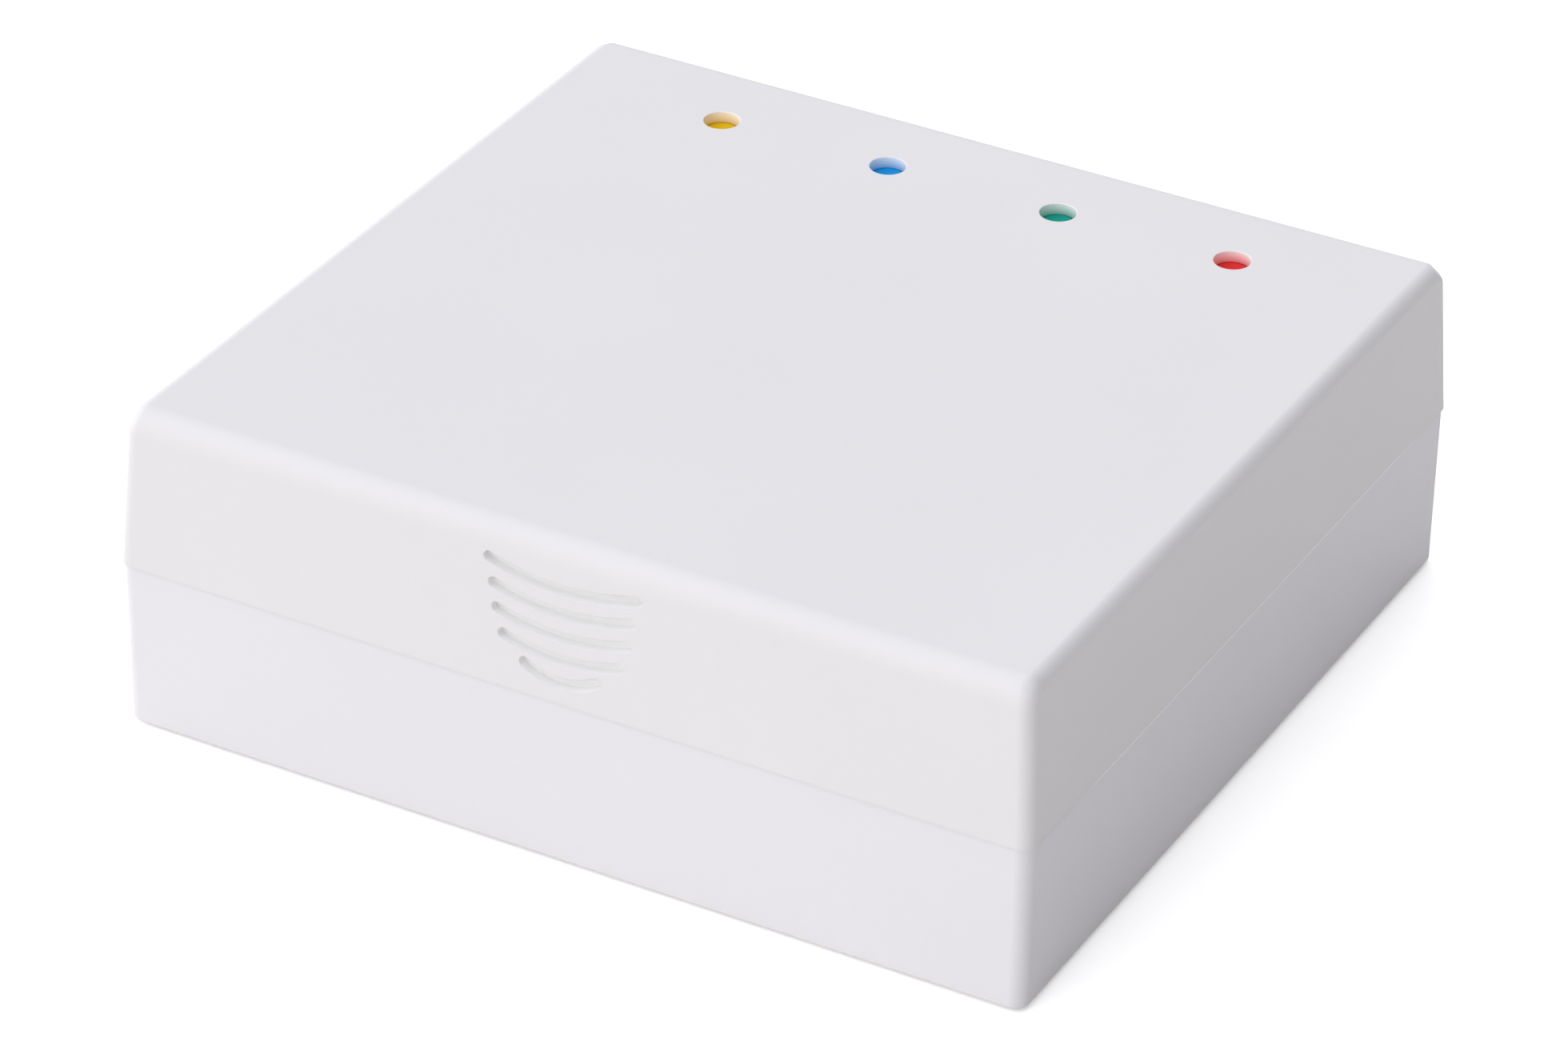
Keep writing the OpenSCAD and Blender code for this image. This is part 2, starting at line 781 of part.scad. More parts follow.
module optical_adapter() color([0.1, 0.52, 0.3]) difference() {
    union() {
        block([optic_w, optic_d, optic_h], [optic_x, optic_front - optic_d / 2], board_top);
        optic_legs(0);
    }
    optic_cavity();
    key_slot();
    shutter_recess();
    bar_y(optic_x, optic_back - past, optic_front, optic_axis_z, receptacle_d + 2 * pin_gap);
    hinge_bar(shutter_pin_d + pin_gap, optic_w + 2 * past);
}

module optic_cavity() {
    depth = optic_d - optic_wall;
    block([optic_mouth_w, depth + past, optic_mouth_h],
        [optic_x, optic_front - (depth - past) / 2], board_top + optic_floor_t);
}

module key_slot() {
    block(key_size + [0, past, past], [optic_x, optic_front - (key_size.y - past) / 2],
        board_top + optic_floor_t + optic_mouth_h - past);
}

// Pocket in the floor that the open shutter lies in
module shutter_recess() {
    length = recess_front + shutter_reach + recess_back;
    block([optic_mouth_w - 2 * fit_gap, length, recess_depth + past],
        [optic_x, shutter_y + recess_front - length / 2],
        board_top + optic_floor_t - recess_depth);
}

// Cylinder on the shutter's axis
module hinge_bar(d, length) {
    translate([optic_x - length / 2, shutter_y, shutter_pin_z]) rotate([0, 90, 0])
        cylinder(d = d, h = length);
}

module shutter_pin() color([0.7, 0.7, 0.72]) hinge_bar(shutter_pin_d, shutter_pin_l);

// Flap that closes the opening, with a barrel round its pin
module optical_shutter() color([0.14, 0.14, 0.15]) {
    flap_w = optic_mouth_w - 2 * free_gap;
    difference() {
        union() {
            block([flap_w, shutter_t, shutter_reach], [optic_x, shutter_y], shutter_pin_z);
            hinge_bar(barrel_d, flap_w);
        }
        hinge_bar(shutter_pin_d + pin_gap, 2 * flap_w);
    }
}

receptacle_d = 4.6;
receptacle_tip = shutter_y - shutter_reach - 0.6;
receptacle_l = receptacle_tip - optic_back;
receptacle_flange_d = receptacle_d + 2.4;
sleeve_od = 3.2;
sleeve_id = 2.5;
sleeve_inset = 0.5;
sleeve_slit = 0.4;
block_size = [9.5, 8, 9];
block_front = optic_back - 0.8;
block_pin_d = 1.2;
block_pin_depth = 2;
block_pin_place = [3.6, 3.3];
block_foot = [1.4, 5];
block_foot_x = 3;

// Metal barrel that the plug's ferrule enters
module ferrule_receptacle() color([0.8, 0.8, 0.82]) difference() {
    union() {
        bar_y(optic_x, optic_back - sink, receptacle_tip, optic_axis_z, receptacle_d);
        bar_y(optic_x, block_front, optic_back, optic_axis_z, receptacle_flange_d);
    }
    bar_y(optic_x, optic_back + sleeve_inset, receptacle_tip + past, optic_axis_z,
        sleeve_od + 2 * pin_gap);
}

// Split ceramic sleeve that lines up the two ferrules
module ceramic_sleeve() color([0.96, 0.96, 0.94]) difference() {
    bar_y(optic_x, optic_back + sleeve_inset, receptacle_tip - sleeve_slit, optic_axis_z,
        sleeve_od);
    bar_y(optic_x, optic_back - past, receptacle_tip + past, optic_axis_z, sleeve_id);
    block([sleeve_slit, receptacle_l + 2 * past, sleeve_od],
        [optic_x, optic_back + receptacle_l / 2], optic_axis_z);
}

module transceiver_block() color([0.74, 0.74, 0.76]) {
    block_low = optic_axis_z - block_size.z / 2;
    difference() {
        block(block_size, [optic_x, block_front - block_size.y / 2], block_low);
        for (side = [-1, 1]) bar_y(optic_x + side * block_pin_place[0],
            block_front - block_pin_depth, block_front + past,
            optic_axis_z + block_pin_place[1], block_pin_d);
    }
    for (side = [-1, 1]) block([block_foot.x, block_foot.y, block_low - board_top + 2 * sink],
        [optic_x + side * block_foot_x, block_front - block_size.y / 2], board_top);
}

can_brim = [5.6, 1.2];
can_crown = [4.7, 2.4];
can_lead = [0.45, 4];
can_lead_ring = 1.3;

// Hat-shaped metal can with its leads, pointing along -Y from the origin
module diode_can(leads) {
    can_l = can_brim[1] + can_crown[1];
    rotate([90, 0, 0]) {
        cylinder(d = can_brim[0], h = can_brim[1]);
        cylinder(d = can_crown[0], h = can_l);
    }
    for (i = [0:leads - 1]) rotate([0, i * 360 / leads, 0])
        translate([can_lead_ring, fit_gap - can_l, 0]) rotate([90, 0, 0])
            cylinder(d = can_lead[0], h = can_lead[1]);
}

module laser_can() color([0.82, 0.7, 0.35])
    translate([optic_x, block_front - block_size.y, optic_axis_z]) diode_can(4);

module photodiode_can() color([0.82, 0.7, 0.35])
    translate([optic_x - block_size.x / 2, block_front - block_size.y / 2, optic_axis_z])
        rotate([0, 0, -90]) diode_can(3);

// ---- Power socket ----

dc_front_t = 3.4;
dc_barrel_d = dc_w - 0.6;
dc_pin_back = dc_d - 1.5;
dc_pin_tip = 1.2;
dc_pin_taper = 0.6;
dc_slot = [1.2, 2, 2];
dc_slot_sink = 0.4;
dc_spring_w = 0.9;

module dc_jack_body() color([0.1, 0.1, 0.11]) difference() {
    slot_l = dc_bore_l - dc_slot.y;
    union() {
        block([dc_w, dc_front_t, dc_h], [dc_x, socket_y - dc_front_t / 2], board_top);
        block([dc_w, dc_d, dc_h / 2], [dc_x, socket_y - dc_d / 2], board_top);
        bar_y(dc_x, socket_y - dc_d, socket_y, dc_axis_z, dc_barrel_d);
        dc_legs(0);
    }
    bar_y(dc_x, socket_y - dc_bore_l, socket_y + past, dc_axis_z, dc_bore_d);
    bar_y(dc_x, socket_y - dc_pin_back, socket_y, dc_axis_z, dc_pin_d + 2 * pin_gap);
    block([dc_slot.x, slot_l, dc_slot.z], [dc_x, socket_y - dc_slot.y - slot_l / 2],
        dc_axis_z + dc_bore_d / 2 - dc_slot_sink);
}

module dc_jack_pin() color([0.85, 0.85, 0.86]) {
    length = dc_pin_back - dc_pin_tip;
    translate([dc_x, socket_y - dc_pin_back, dc_axis_z]) rotate([-90, 0, 0]) rotate_extrude()
        polygon([[0, 0], [dc_pin_d / 2, 0], [dc_pin_d / 2, length - dc_pin_taper],
            [dc_pin_d / 4, length], [0, length]]);
}

// Leaf spring over the opening that presses on the plug's barrel
module dc_jack_spring() color([0.85, 0.72, 0.4]) {
    roof = dc_axis_z + dc_bore_d / 2;
    back = socket_y - dc_bore_l + free_gap;
    translate([dc_x - dc_spring_w / 2, back, roof]) rotate([90, 0, 90])
        linear_extrude(dc_spring_w)
            polygon([[0, 0.9], [0, 0.6], [3.5, -0.5], [5.6, 0.2], [5.6, 0.5], [3.5, -0.2],
                [0.4, 0.9]]);
}

// ---- Power button ----

stem_bore_w = stem_w + 2 * free_gap;
switch_line = 0.5;
switch_line_back = 1.2;
button_chamfer = 0.4;

module power_switch() color([0.13, 0.13, 0.14]) difference() {
    union() {
        block(switch_size, [switch_mid, switch_front_y - switch_size.y / 2], board_top);
        switch_legs(0);
    }
    block([stem_bore_w, stem_l + button_travel + 2 * past, stem_bore_w],
        [switch_mid, switch_front_y + past - (stem_l + button_travel) / 2],
        switch_axis_z - stem_bore_w / 2);
    block([switch_size.x + 2 * past, switch_line, switch_line + past],
        [switch_mid, switch_front_y - switch_line_back], board_top + switch_size.z - switch_line);
}

module power_button() color([0.16, 0.16, 0.17]) {
    tip = bay_y + button_proud;
    flange_y = panel_y - free_gap - button_flange_t;
    bar_y(switch_mid, flange_y, tip - button_chamfer, switch_axis_z, button_d);
    translate([switch_mid, tip - button_chamfer, switch_axis_z]) rotate([-90, 0, 0])
        cylinder(d1 = button_d, d2 = button_d - 2 * button_chamfer, h = button_chamfer);
    bar_y(switch_mid, flange_y, flange_y + button_flange_t, switch_axis_z, button_flange_d);
    block([stem_w, flange_y - switch_front_y + stem_l, stem_w],
        [switch_mid, (flange_y + switch_front_y - stem_l) / 2], switch_axis_z - stem_w / 2);
}

// ---- Reset switch ----

module reset_switch() color([0.14, 0.14, 0.15]) difference() {
    union() {
        block(reset_size, [reset_mid, reset_front_y - reset_size.y / 2], board_top);
        reset_legs(0);
    }
    bar_y(reset_mid, reset_front_y - plunger_bore_l, reset_front_y + past, reset_axis_z,
        plunger_d + 2 * pin_gap);
}

module reset_plunger() color([0.8, 0.78, 0.72])
    bar_y(reset_mid, reset_front_y - plunger_bore_l + reset_travel + free_gap,
        reset_front_y + plunger_l, reset_axis_z, plunger_d);

// ---- Components on the board ----

cpu_place = [-4, -2];
cpu_size = [17, 17, 1.2];
cpu_dot_d = 1.4;
cpu_dot_depth = 0.15;
cpu_dot_inset = 1.5;
pad_inset = 0.5;
pad_t = 0.5;
sink_size = [26, 26, 2];
fin_h = 8;
fin_t = 1.2;
fin_count = 7;

module network_processor() color([0.13, 0.13, 0.14]) difference() {
    block(cpu_size, cpu_place, board_top);
    translate([cpu_place.x - cpu_size.x / 2 + cpu_dot_inset,
        cpu_place.y - cpu_size.y / 2 + cpu_dot_inset, board_top + cpu_size.z - cpu_dot_depth])
            cylinder(d = cpu_dot_d, h = past);
}

module thermal_pad() color([0.6, 0.62, 0.66])
    block([cpu_size.x - 2 * pad_inset, cpu_size.y - 2 * pad_inset, pad_t], cpu_place,
        board_top + cpu_size.z);

module heat_sink() color([0.75, 0.76, 0.78]) {
    low = board_top + cpu_size.z + pad_t;
    pitch = (sink_size.x - fin_t) / (fin_count - 1);
    block(sink_size, cpu_place, low);
    for (i = [0:fin_count - 1])
        block([fin_t, sink_size.y, fin_h + sink],
            [cpu_place.x + (i - (fin_count - 1) / 2) * pitch, cpu_place.y],
            low + sink_size.z - sink);
}

chip_lift = 0.15;
chip_lead_t = 0.2;
transformer_back = 8.5;
transformer_size = [15, 7, 4];
memory_place = [-30, -3];
memory_size = [13, 8, 1.1];
flash_place = [-28, -26];
flash_size = [6, 6, 1.7];

// Flat package with rows of bent leads along two sides
module leaded_chip(size, leads, pitch) {
    lead_w = 0.4 * pitch;
    translate([0, 0, chip_lift]) block(size - [0, 0, chip_lift], [0, 0], 0);
    both_y() for (i = [0:leads - 1])
        translate([(i - (leads - 1) / 2) * pitch - lead_w / 2, size.y / 2, 0])
            rotate([90, 0, 90]) linear_extrude(lead_w) bent_lead(size.z / 2);
}

// Side view of a lead that leaves the package at height z and turns down to its pad
module bent_lead(z) {
    half_t = chip_lead_t / 2;
    polygon([[-half_t, z + half_t], [0.5, z + half_t], [0.7, chip_lead_t], [1.3, chip_lead_t],
        [1.3, 0], [0.5, 0], [0.3, z - half_t], [-half_t, z - half_t]]);
}

module lan_transformer() color([0.1, 0.1, 0.11])
    translate([lan_x, socket_y - lan_d - transformer_back, board_top])
        leaded_chip(transformer_size, 8, 1.7);

module memory_chip() color([0.12, 0.12, 0.13])
    translate([memory_place.x, memory_place.y, board_top]) rotate([0, 0, 90])
        leaded_chip(memory_size, 12, 1);

module flash_chip() color([0.12, 0.12, 0.13])
    translate([flash_place.x, flash_place.y, board_top]) leaded_chip(flash_size, 4, 1.27);

can_foot_t = 1;
can_lip = 0.4;
crimp_z = 1.8;
crimp_depth = 0.35;
smoothing_d = 6.3;
smoothing_h = 7.7;
smoothing_place = [[26, 22], [35, 22], [30, 6]];
backup_d = 12.5;
backup_h = 13.5;
backup_place = [30, -12];

// Can with a crimped waist on a square foot
module can_capacitor(d, h) {
    block([d + can_lip, d + can_lip, can_foot_t], [0, 0], 0);
    rotate_extrude() polygon([[0, can_foot_t / 2], [d / 2, can_foot_t / 2], [d / 2, crimp_z],
        [d / 2 - crimp_depth, crimp_z + can_lip], [d / 2, crimp_z + 2 * can_lip],
        [d / 2, h - can_lip], [d / 2 - can_lip, h], [0, h]]);
}

module smoothing_capacitors() color([0.7, 0.71, 0.74]) for (place = smoothing_place)
    translate([place.x, place.y, board_top]) can_capacitor(smoothing_d, smoothing_h);

module backup_capacitor() color([0.16, 0.18, 0.26])
    translate([backup_place.x, backup_place.y, board_top]) can_capacitor(backup_d, backup_h);

inductor_d = 7.8;
inductor_h = 4;
inductor_flange_t = 0.9;
winding_d = 6;
inductor_place = [[16, 18], [16, -14]];

// Wire-wound drum cores: two flanges with the winding between them
module power_inductors() color([0.3, 0.3, 0.32]) for (place = inductor_place)
    translate([place.x, place.y, board_top]) {
        cylinder(d = winding_d, h = inductor_h);
        for (z = [0, inductor_h - inductor_flange_t]) translate([0, 0, z])
            cylinder(d = inductor_d, h = inductor_flange_t);
    }

crystal_place = [-4, -22];
crystal_half = [5, 1.9];
crystal_h = 3.4;
crystal_rim = 0.6;

module crystal() color([0.82, 0.82, 0.83])
    translate([crystal_place.x, crystal_place.y, board_top]) {
        linear_extrude(crystal_rim) round_rect(crystal_half + [crystal_rim, crystal_rim],
            crystal_half.y + crystal_rim - 0.1);
        linear_extrude(crystal_h) round_rect(crystal_half, crystal_half.y - 0.1);
    }

top_cover();
base_shell();
rubber_feet();
case_screws();
light_pipe_yellow();
light_pipe_blue();
light_pipe_green();
light_pipe_red();
main_board();
board_screws();
status_leds();
lan_jack_housing();
lan_jack_shield();
lan_jack_contacts();
lan_transformer();
optical_adapter();
optical_shutter();
shutter_pin();
ferrule_receptacle();
ceramic_sleeve();
transceiver_block();
laser_can();
photodiode_can();
dc_jack_body();
dc_jack_pin();
dc_jack_spring();
power_switch();
power_button();
reset_switch();
reset_plunger();
network_processor();
thermal_pad();
heat_sink();
memory_chip();
flash_chip();
smoothing_capacitors();
backup_capacitor();
power_inductors();
crystal();
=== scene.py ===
import json
import math

import bpy
from bpy.props import FloatProperty, FloatVectorProperty, PointerProperty
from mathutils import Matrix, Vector

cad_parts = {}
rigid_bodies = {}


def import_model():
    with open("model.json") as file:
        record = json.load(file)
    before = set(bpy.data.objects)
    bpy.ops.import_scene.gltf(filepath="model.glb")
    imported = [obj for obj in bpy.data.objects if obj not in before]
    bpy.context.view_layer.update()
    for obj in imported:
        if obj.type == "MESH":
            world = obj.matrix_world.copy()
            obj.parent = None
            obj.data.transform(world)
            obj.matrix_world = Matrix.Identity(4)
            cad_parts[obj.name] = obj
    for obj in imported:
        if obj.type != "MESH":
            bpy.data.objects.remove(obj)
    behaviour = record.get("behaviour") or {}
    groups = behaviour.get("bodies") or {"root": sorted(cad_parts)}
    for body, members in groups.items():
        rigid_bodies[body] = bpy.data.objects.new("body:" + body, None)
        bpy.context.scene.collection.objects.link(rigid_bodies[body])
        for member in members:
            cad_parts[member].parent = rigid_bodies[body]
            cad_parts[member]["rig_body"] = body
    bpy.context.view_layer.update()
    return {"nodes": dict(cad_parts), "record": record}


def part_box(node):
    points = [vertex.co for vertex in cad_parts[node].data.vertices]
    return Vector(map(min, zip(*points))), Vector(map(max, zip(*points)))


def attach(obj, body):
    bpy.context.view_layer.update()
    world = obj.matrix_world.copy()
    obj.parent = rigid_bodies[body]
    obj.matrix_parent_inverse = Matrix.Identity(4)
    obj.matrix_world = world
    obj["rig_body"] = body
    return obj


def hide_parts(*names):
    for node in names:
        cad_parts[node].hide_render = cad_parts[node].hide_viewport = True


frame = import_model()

bl_info = {
    "name": "Optical Network Terminal",
    "version": (1, 0, 0),
    "blender": (4, 5, 0),
    "location": "3D View > Sidebar > Terminal",
    "description": "Builds the case, lenses, sockets and studio of an optical network terminal",
    "category": "Object",
}

MM = 0.001
LENS_NODES = ["light_pipe_yellow", "light_pipe_blue", "light_pipe_green", "light_pipe_red"]

FLAT = math.radians(0.2)    # faces that meet at less than this are one flat
SHARP = math.radians(35)    # edges that turn more than this are rounded
CREASE = math.radians(38)   # edges that turn more than this stay creases in the shading
WELD = 0.002 * MM           # points nearer than this are one
THIN = 0.01 * MM            # thickness of the slices that an outline is stretched over
TOUCH = 0.05 * MM           # how near to a plane an edge lies on it
SINK = 0.5 * MM             # how far an added form reaches into the one that holds it
PAST = 1 * MM               # how far a cutting form reaches past the surface
WEB = 0.6 * MM              # half the thickness of a web or rib
ROUND, ROUNDER = 64, 96     # sides of visible round forms


# ---- Properties ----

def length(name, description, mm):
    """A length property whose default is given in millimetres."""
    return FloatProperty(name=name, description=description, default=mm * MM,
                         min=0, precision=5, unit="LENGTH", subtype="DISTANCE")


def angle(name, description, degrees):
    """An angle property whose default is given in degrees."""
    return FloatProperty(name=name, description=description, default=math.radians(degrees),
                         subtype="ANGLE")


def colour(name, description, red, green, blue):
    """A colour property from the 0 to 255 values that it shows on screen."""
    return FloatVectorProperty(name=name, description=description, size=3, min=0, max=1,
                               default=[linear(red), linear(green), linear(blue)],
                               subtype="COLOR")


def number(name, description, value):
    """A plain number that can't be negative."""
    return FloatProperty(name=name, description=description, default=value, min=0)


def place(name, description, *metres):
    """A place in the scene, in metres."""
    return FloatVectorProperty(name=name, description=description, default=metres, size=3,
                               precision=5, subtype="TRANSLATION", unit="LENGTH")


def tint(name, description, *levels):
    """The linear levels of light of a colour."""
    return FloatVectorProperty(name=name, description=description, default=levels, size=3,
                               subtype="COLOR")


def linear(level):
    """Linear light of a 0 to 255 screen level."""
    share = level / 255
    return share / 12.92 if share <= 0.04045 else ((share + 0.055) / 1.055) ** 2.4


class CaseSizes(bpy.types.PropertyGroup):
    """Sizes of the moulded case."""
    wall: length("Wall", "Thickness of the side walls", 2)
    top_panel: length("Top panel", "Thickness of the cover's top", 2)
    floor: length("Floor", "Thickness of the base's floor", 2)
    cover_draft: angle("Cover draft", "Lean of the cover's walls", 3.15)
    base_draft: angle("Base draft", "Lean of the base's walls", 0.25)
    corner: length("Corner radius", "Radius of the upright corners", 1.8)
    front_roll: length("Front roll", "Radius of the front and back top edges", 3)
    side_roll: length("Side roll", "Radius of the left and right top edges", 1.9)
    bottom_roll: length("Bottom roll", "Radius round the underside", 0.4)
    tongue: length("Tongue", "Thickness of the cover's tongue", 0.8)
    rim: length("Rim", "Thickness of the base's rim outside the tongue", 1)
    fit: length("Fit", "Gap between tongue and rim", 0.1)
    soft_edge: length("Soft edge", "Rounding of the moulded case's sharp edges", 0.14)
    seam_edge: length("Seam edge", "Rounding of the two edges that meet at the seam", 0.18)


class DetailSizes(bpy.types.PropertyGroup):
    """Sizes of the openings and the parts that the case holds."""
    lens_hole: length("Indicator hole", "Diameter of an indicator hole", 4.6)
    sleeve: length("Sleeve", "Length of the sleeve under an indicator hole", 3)
    groove_width: length("Groove width", "Width of a groove in the front wall", 1.35)
    groove_depth: length("Groove depth", "Depth of a groove in the front wall", 1.1)
    groove_pitch: length("Groove pitch", "Distance between neighbouring grooves", 3)
    groove_low: length("Lowest groove", "Height of the lowest groove above the seam", 2.75)
    bay_depth: length("Bay depth", "Depth of the bay in the back wall", 2)
    keyhole: length("Keyhole", "Diameter of a keyhole's wide end", 7.6)
    keyhole_slot: length("Keyhole slot", "Width of a keyhole's narrow end", 3.8)
    keyhole_pitch: length("Keyhole pitch", "Distance between the keyholes", 64)
    keyhole_run: length("Keyhole run", "Distance from the wide to the narrow end", 6)


class Finishes(bpy.types.PropertyGroup):
    """Colours of the materials."""
    cover_white: colour("Cover", "Satin white of the cover", 232, 231, 232)
    base_white: colour("Base", "Satin white of the base", 234, 233, 237)
    lens_yellow: colour("Yellow lens", "First indicator", 226, 184, 8)
    lens_blue: colour("Blue lens", "Second indicator", 8, 150, 218)
    lens_green: colour("Green lens", "Third indicator", 12, 156, 138)
    lens_red: colour("Red lens", "Fourth indicator", 224, 46, 46)


class StageSettings(bpy.types.PropertyGroup):
    """Camera, floor and lamps."""
    lens: number("Lens", "Focal length of the camera in millimetres", 149.22)
    camera_place: place("Camera place", "Where the camera stands", 0.31561, -0.58790, 0.42524)
    camera_turn: FloatVectorProperty(name="Camera turn", description="Tilt, roll and heading",
                                     default=[math.radians(x) for x in (58.4977, -0.8647, 28.8986)],
                                     size=3, precision=4, subtype="EULER")
    lamp_place: place("Lamp place", "Where the front lamp stands", -0.5, -1.0, 1.05)
    lamp_size: length("Lamp size", "Width of the front lamp", 1200)
    lamp_power: number("Lamp power", "Power of the front lamp in watts", 1.0)
    sky: number("Sky", "Brightness halfway between the two sides", 1.0)
    sky_slope: number("Sky slope", "How fast it grows to the bright side", 2.1)
    sky_limit: number("Sky limit", "Brightness of the bright side", 1.29)
    sky_side: FloatVectorProperty(name="Bright side", description="Direction of the bright side",
                                  default=(-1.0, -0.5, 0.3), size=3, subtype="XYZ")
    sky_low: tint("Horizon tone", "Tint of the light near the floor", 1.0, 0.985, 0.935)
    sky_high: tint("Zenith tone", "Tint of the light from above", 0.98, 0.98, 1.07)
    floor_size: length("Floor", "Width of the floor", 6000)
    floor_tone: tint("Floor tone", "Colour that lights the object", 0.81, 0.795, 0.76)
    floor_white: tint("Floor white", "Colour where the floor is seen", 1.35, 1.35, 1.32)
    floor_lift: number("Floor lift", "White added where the floor is seen", 0.22)


def sizes():
    return bpy.context.scene.terminal_case


def details():
    return bpy.context.scene.terminal_details


def finishes():
    return bpy.context.scene.terminal_finishes


def studio():
    return bpy.context.scene.terminal_stage


# ---- Bench tools: what a hand does in the 3D view ----

def choose(*objects):
    """Leaves only these objects selected, the first one active."""
    bpy.ops.object.select_all(action="DESELECT")
    for obj in objects:
        obj.select_set(True)
    bpy.context.view_layer.objects.active = objects[0]


def settle(name):
    """Names the new object and puts its place, turn and scale into its mesh."""
    obj = bpy.context.active_object
    obj.name = obj.data.name = name
    bpy.ops.object.transform_apply(location=True, rotation=True, scale=True)
    return obj


def block(name, low, high):
    """A box between two corners."""
    low, high = Vector(low), Vector(high)
    bpy.ops.object.select_all(action="DESELECT")
    bpy.ops.mesh.primitive_cube_add(size=1, location=(low + high) / 2, scale=high - low)
    return settle(name)


def rod(name, start, end, radius, sides=48):
    """A cylinder from one point to another along an axis."""
    start, end = Vector(start), Vector(end)
    turn = (end - start).to_track_quat("Z", "Y").to_euler()
    bpy.ops.object.select_all(action="DESELECT")
    bpy.ops.mesh.primitive_cylinder_add(vertices=sides, radius=radius, depth=(end - start).length,
                                        location=(start + end) / 2, rotation=turn)
    return settle(name)


def ball(name, centre, radius, sides=64):
    """A sphere, its poles on the Z axis."""
    bpy.ops.object.select_all(action="DESELECT")
    bpy.ops.mesh.primitive_uv_sphere_add(segments=sides, ring_count=sides // 2, radius=radius,
                                         location=centre)
    return settle(name)


def pick(obj, kind, wanted):
    """Enters edit mode with only the vertices, edges or faces that pass the test selected."""
    choose(obj)
    bpy.ops.object.mode_set(mode="EDIT")
    bpy.ops.mesh.select_mode(type=kind)
    bpy.ops.mesh.select_all(action="DESELECT")
    bpy.ops.object.mode_set(mode="OBJECT")
    found = {"VERT": obj.data.vertices, "EDGE": obj.data.edges, "FACE": obj.data.polygons}[kind]
    for item in found:
        item.select = wanted(item)
    bpy.ops.object.mode_set(mode="EDIT")


def leave():
    bpy.ops.object.mode_set(mode="OBJECT")


def join(name, pieces):
    """Several objects as one."""
    choose(*pieces)
    if len(pieces) > 1:
        bpy.ops.object.join()
    obj = bpy.context.active_object
    obj.name = obj.data.name = name
    return obj


def stretch_over(name, pieces):
    """The tight skin over several pieces, its flat faces cleaned."""
    obj = join(name, pieces)
    pick(obj, "VERT", lambda vertex: True)
    bpy.ops.mesh.convex_hull(join_triangles=True, face_threshold=FLAT, shape_threshold=FLAT)
    bpy.ops.mesh.select_all(action="SELECT")
    bpy.ops.mesh.dissolve_limited(angle_limit=FLAT)
    leave()
    return obj


def finish_modifier(obj, kind, **settings):
    """Adds one modifier and applies it."""
    choose(obj)
    modifier = obj.modifiers.new(kind.title(), kind)
    for key, value in settings.items():
        setattr(modifier, key, value)
    bpy.ops.object.modifier_apply(modifier=modifier.name)


def boolean(obj, operation, pieces):
    """Adds the pieces to obj or cuts them out of it, and uses them up."""
    tool = join("tool", pieces)
    finish_modifier(obj, "BOOLEAN", operation=operation, object=tool, solver="EXACT",
                    use_self=len(pieces) > 1)
    bpy.data.objects.remove(tool)
    pick(obj, "VERT", lambda vertex: True)
    bpy.ops.mesh.remove_doubles(threshold=WELD)
    leave()


def add(obj, *pieces):
    boolean(obj, "UNION", pieces)


def cut(obj, *pieces):
    boolean(obj, "DIFFERENCE", pieces)


def edge_turns(mesh):
    """The angle between the two faces at each edge, by the edge's vertex pair."""
    sides = {}
    for face in mesh.polygons:
        for key in face.edge_keys:
            sides.setdefault(key, []).append(face.normal)
    return {key: pair[0].angle(pair[1], 0) for key, pair in sides.items() if len(pair) == 2}


def soften(obj, width, wanted=lambda middle: True, segments=2):
    """Rounds the sharp edges whose middle passes the test."""
    mesh = obj.data
    turns = edge_turns(mesh)

    def chosen(edge):
        a, b = (mesh.vertices[i].co for i in edge.vertices)
        return turns.get(edge.key, 0) > SHARP and wanted((a + b) / 2)

    pick(obj, "EDGE", chosen)
    bpy.ops.mesh.bevel(offset=width, offset_type="OFFSET", segments=segments, profile=0.5,
                       affect="EDGES", clamp_overlap=False, miter_outer="SHARP")
    bpy.ops.mesh.select_all(action="SELECT")
    bpy.ops.mesh.remove_doubles(threshold=WELD)
    leave()


def shade(obj):
    """Smooth shading that keeps flats flat and creases sharp."""
    choose(obj)
    bpy.ops.object.shade_smooth_by_angle(angle=CREASE)
    finish_modifier(obj, "WEIGHTED_NORMAL", mode="FACE_AREA", weight=100, keep_sharp=True)


def soft_copy(name, node, width):
    """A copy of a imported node, its triangles merged, its flats cleaned and its edges rounded."""
    obj = bpy.data.objects.new(name, frame["nodes"][node].data.copy())
    bpy.context.scene.collection.objects.link(obj)
    obj.data.name = name
    pick(obj, "VERT", lambda vertex: True)
    bpy.ops.mesh.remove_doubles(threshold=WELD)
    bpy.ops.mesh.select_all(action="SELECT")
    bpy.ops.mesh.dissolve_limited(angle_limit=FLAT)
    leave()
    soften(obj, width)
    return obj


def mirror_places(x, y):
    """The four places that mirror one another across both middle planes."""
    return [(side_x * x, side_y * y) for side_x in (-1, 1) for side_y in (-1, 1)]


def finish_piece(obj, node, material):
    """Shades the piece, gives it its material, and puts it in its node's place."""
    shade(obj)
    obj.data.materials.clear()
    obj.data.materials.append(material)
    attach(obj, frame["nodes"][node]["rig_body"])
    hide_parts(node)


# ---- Shader maths ----

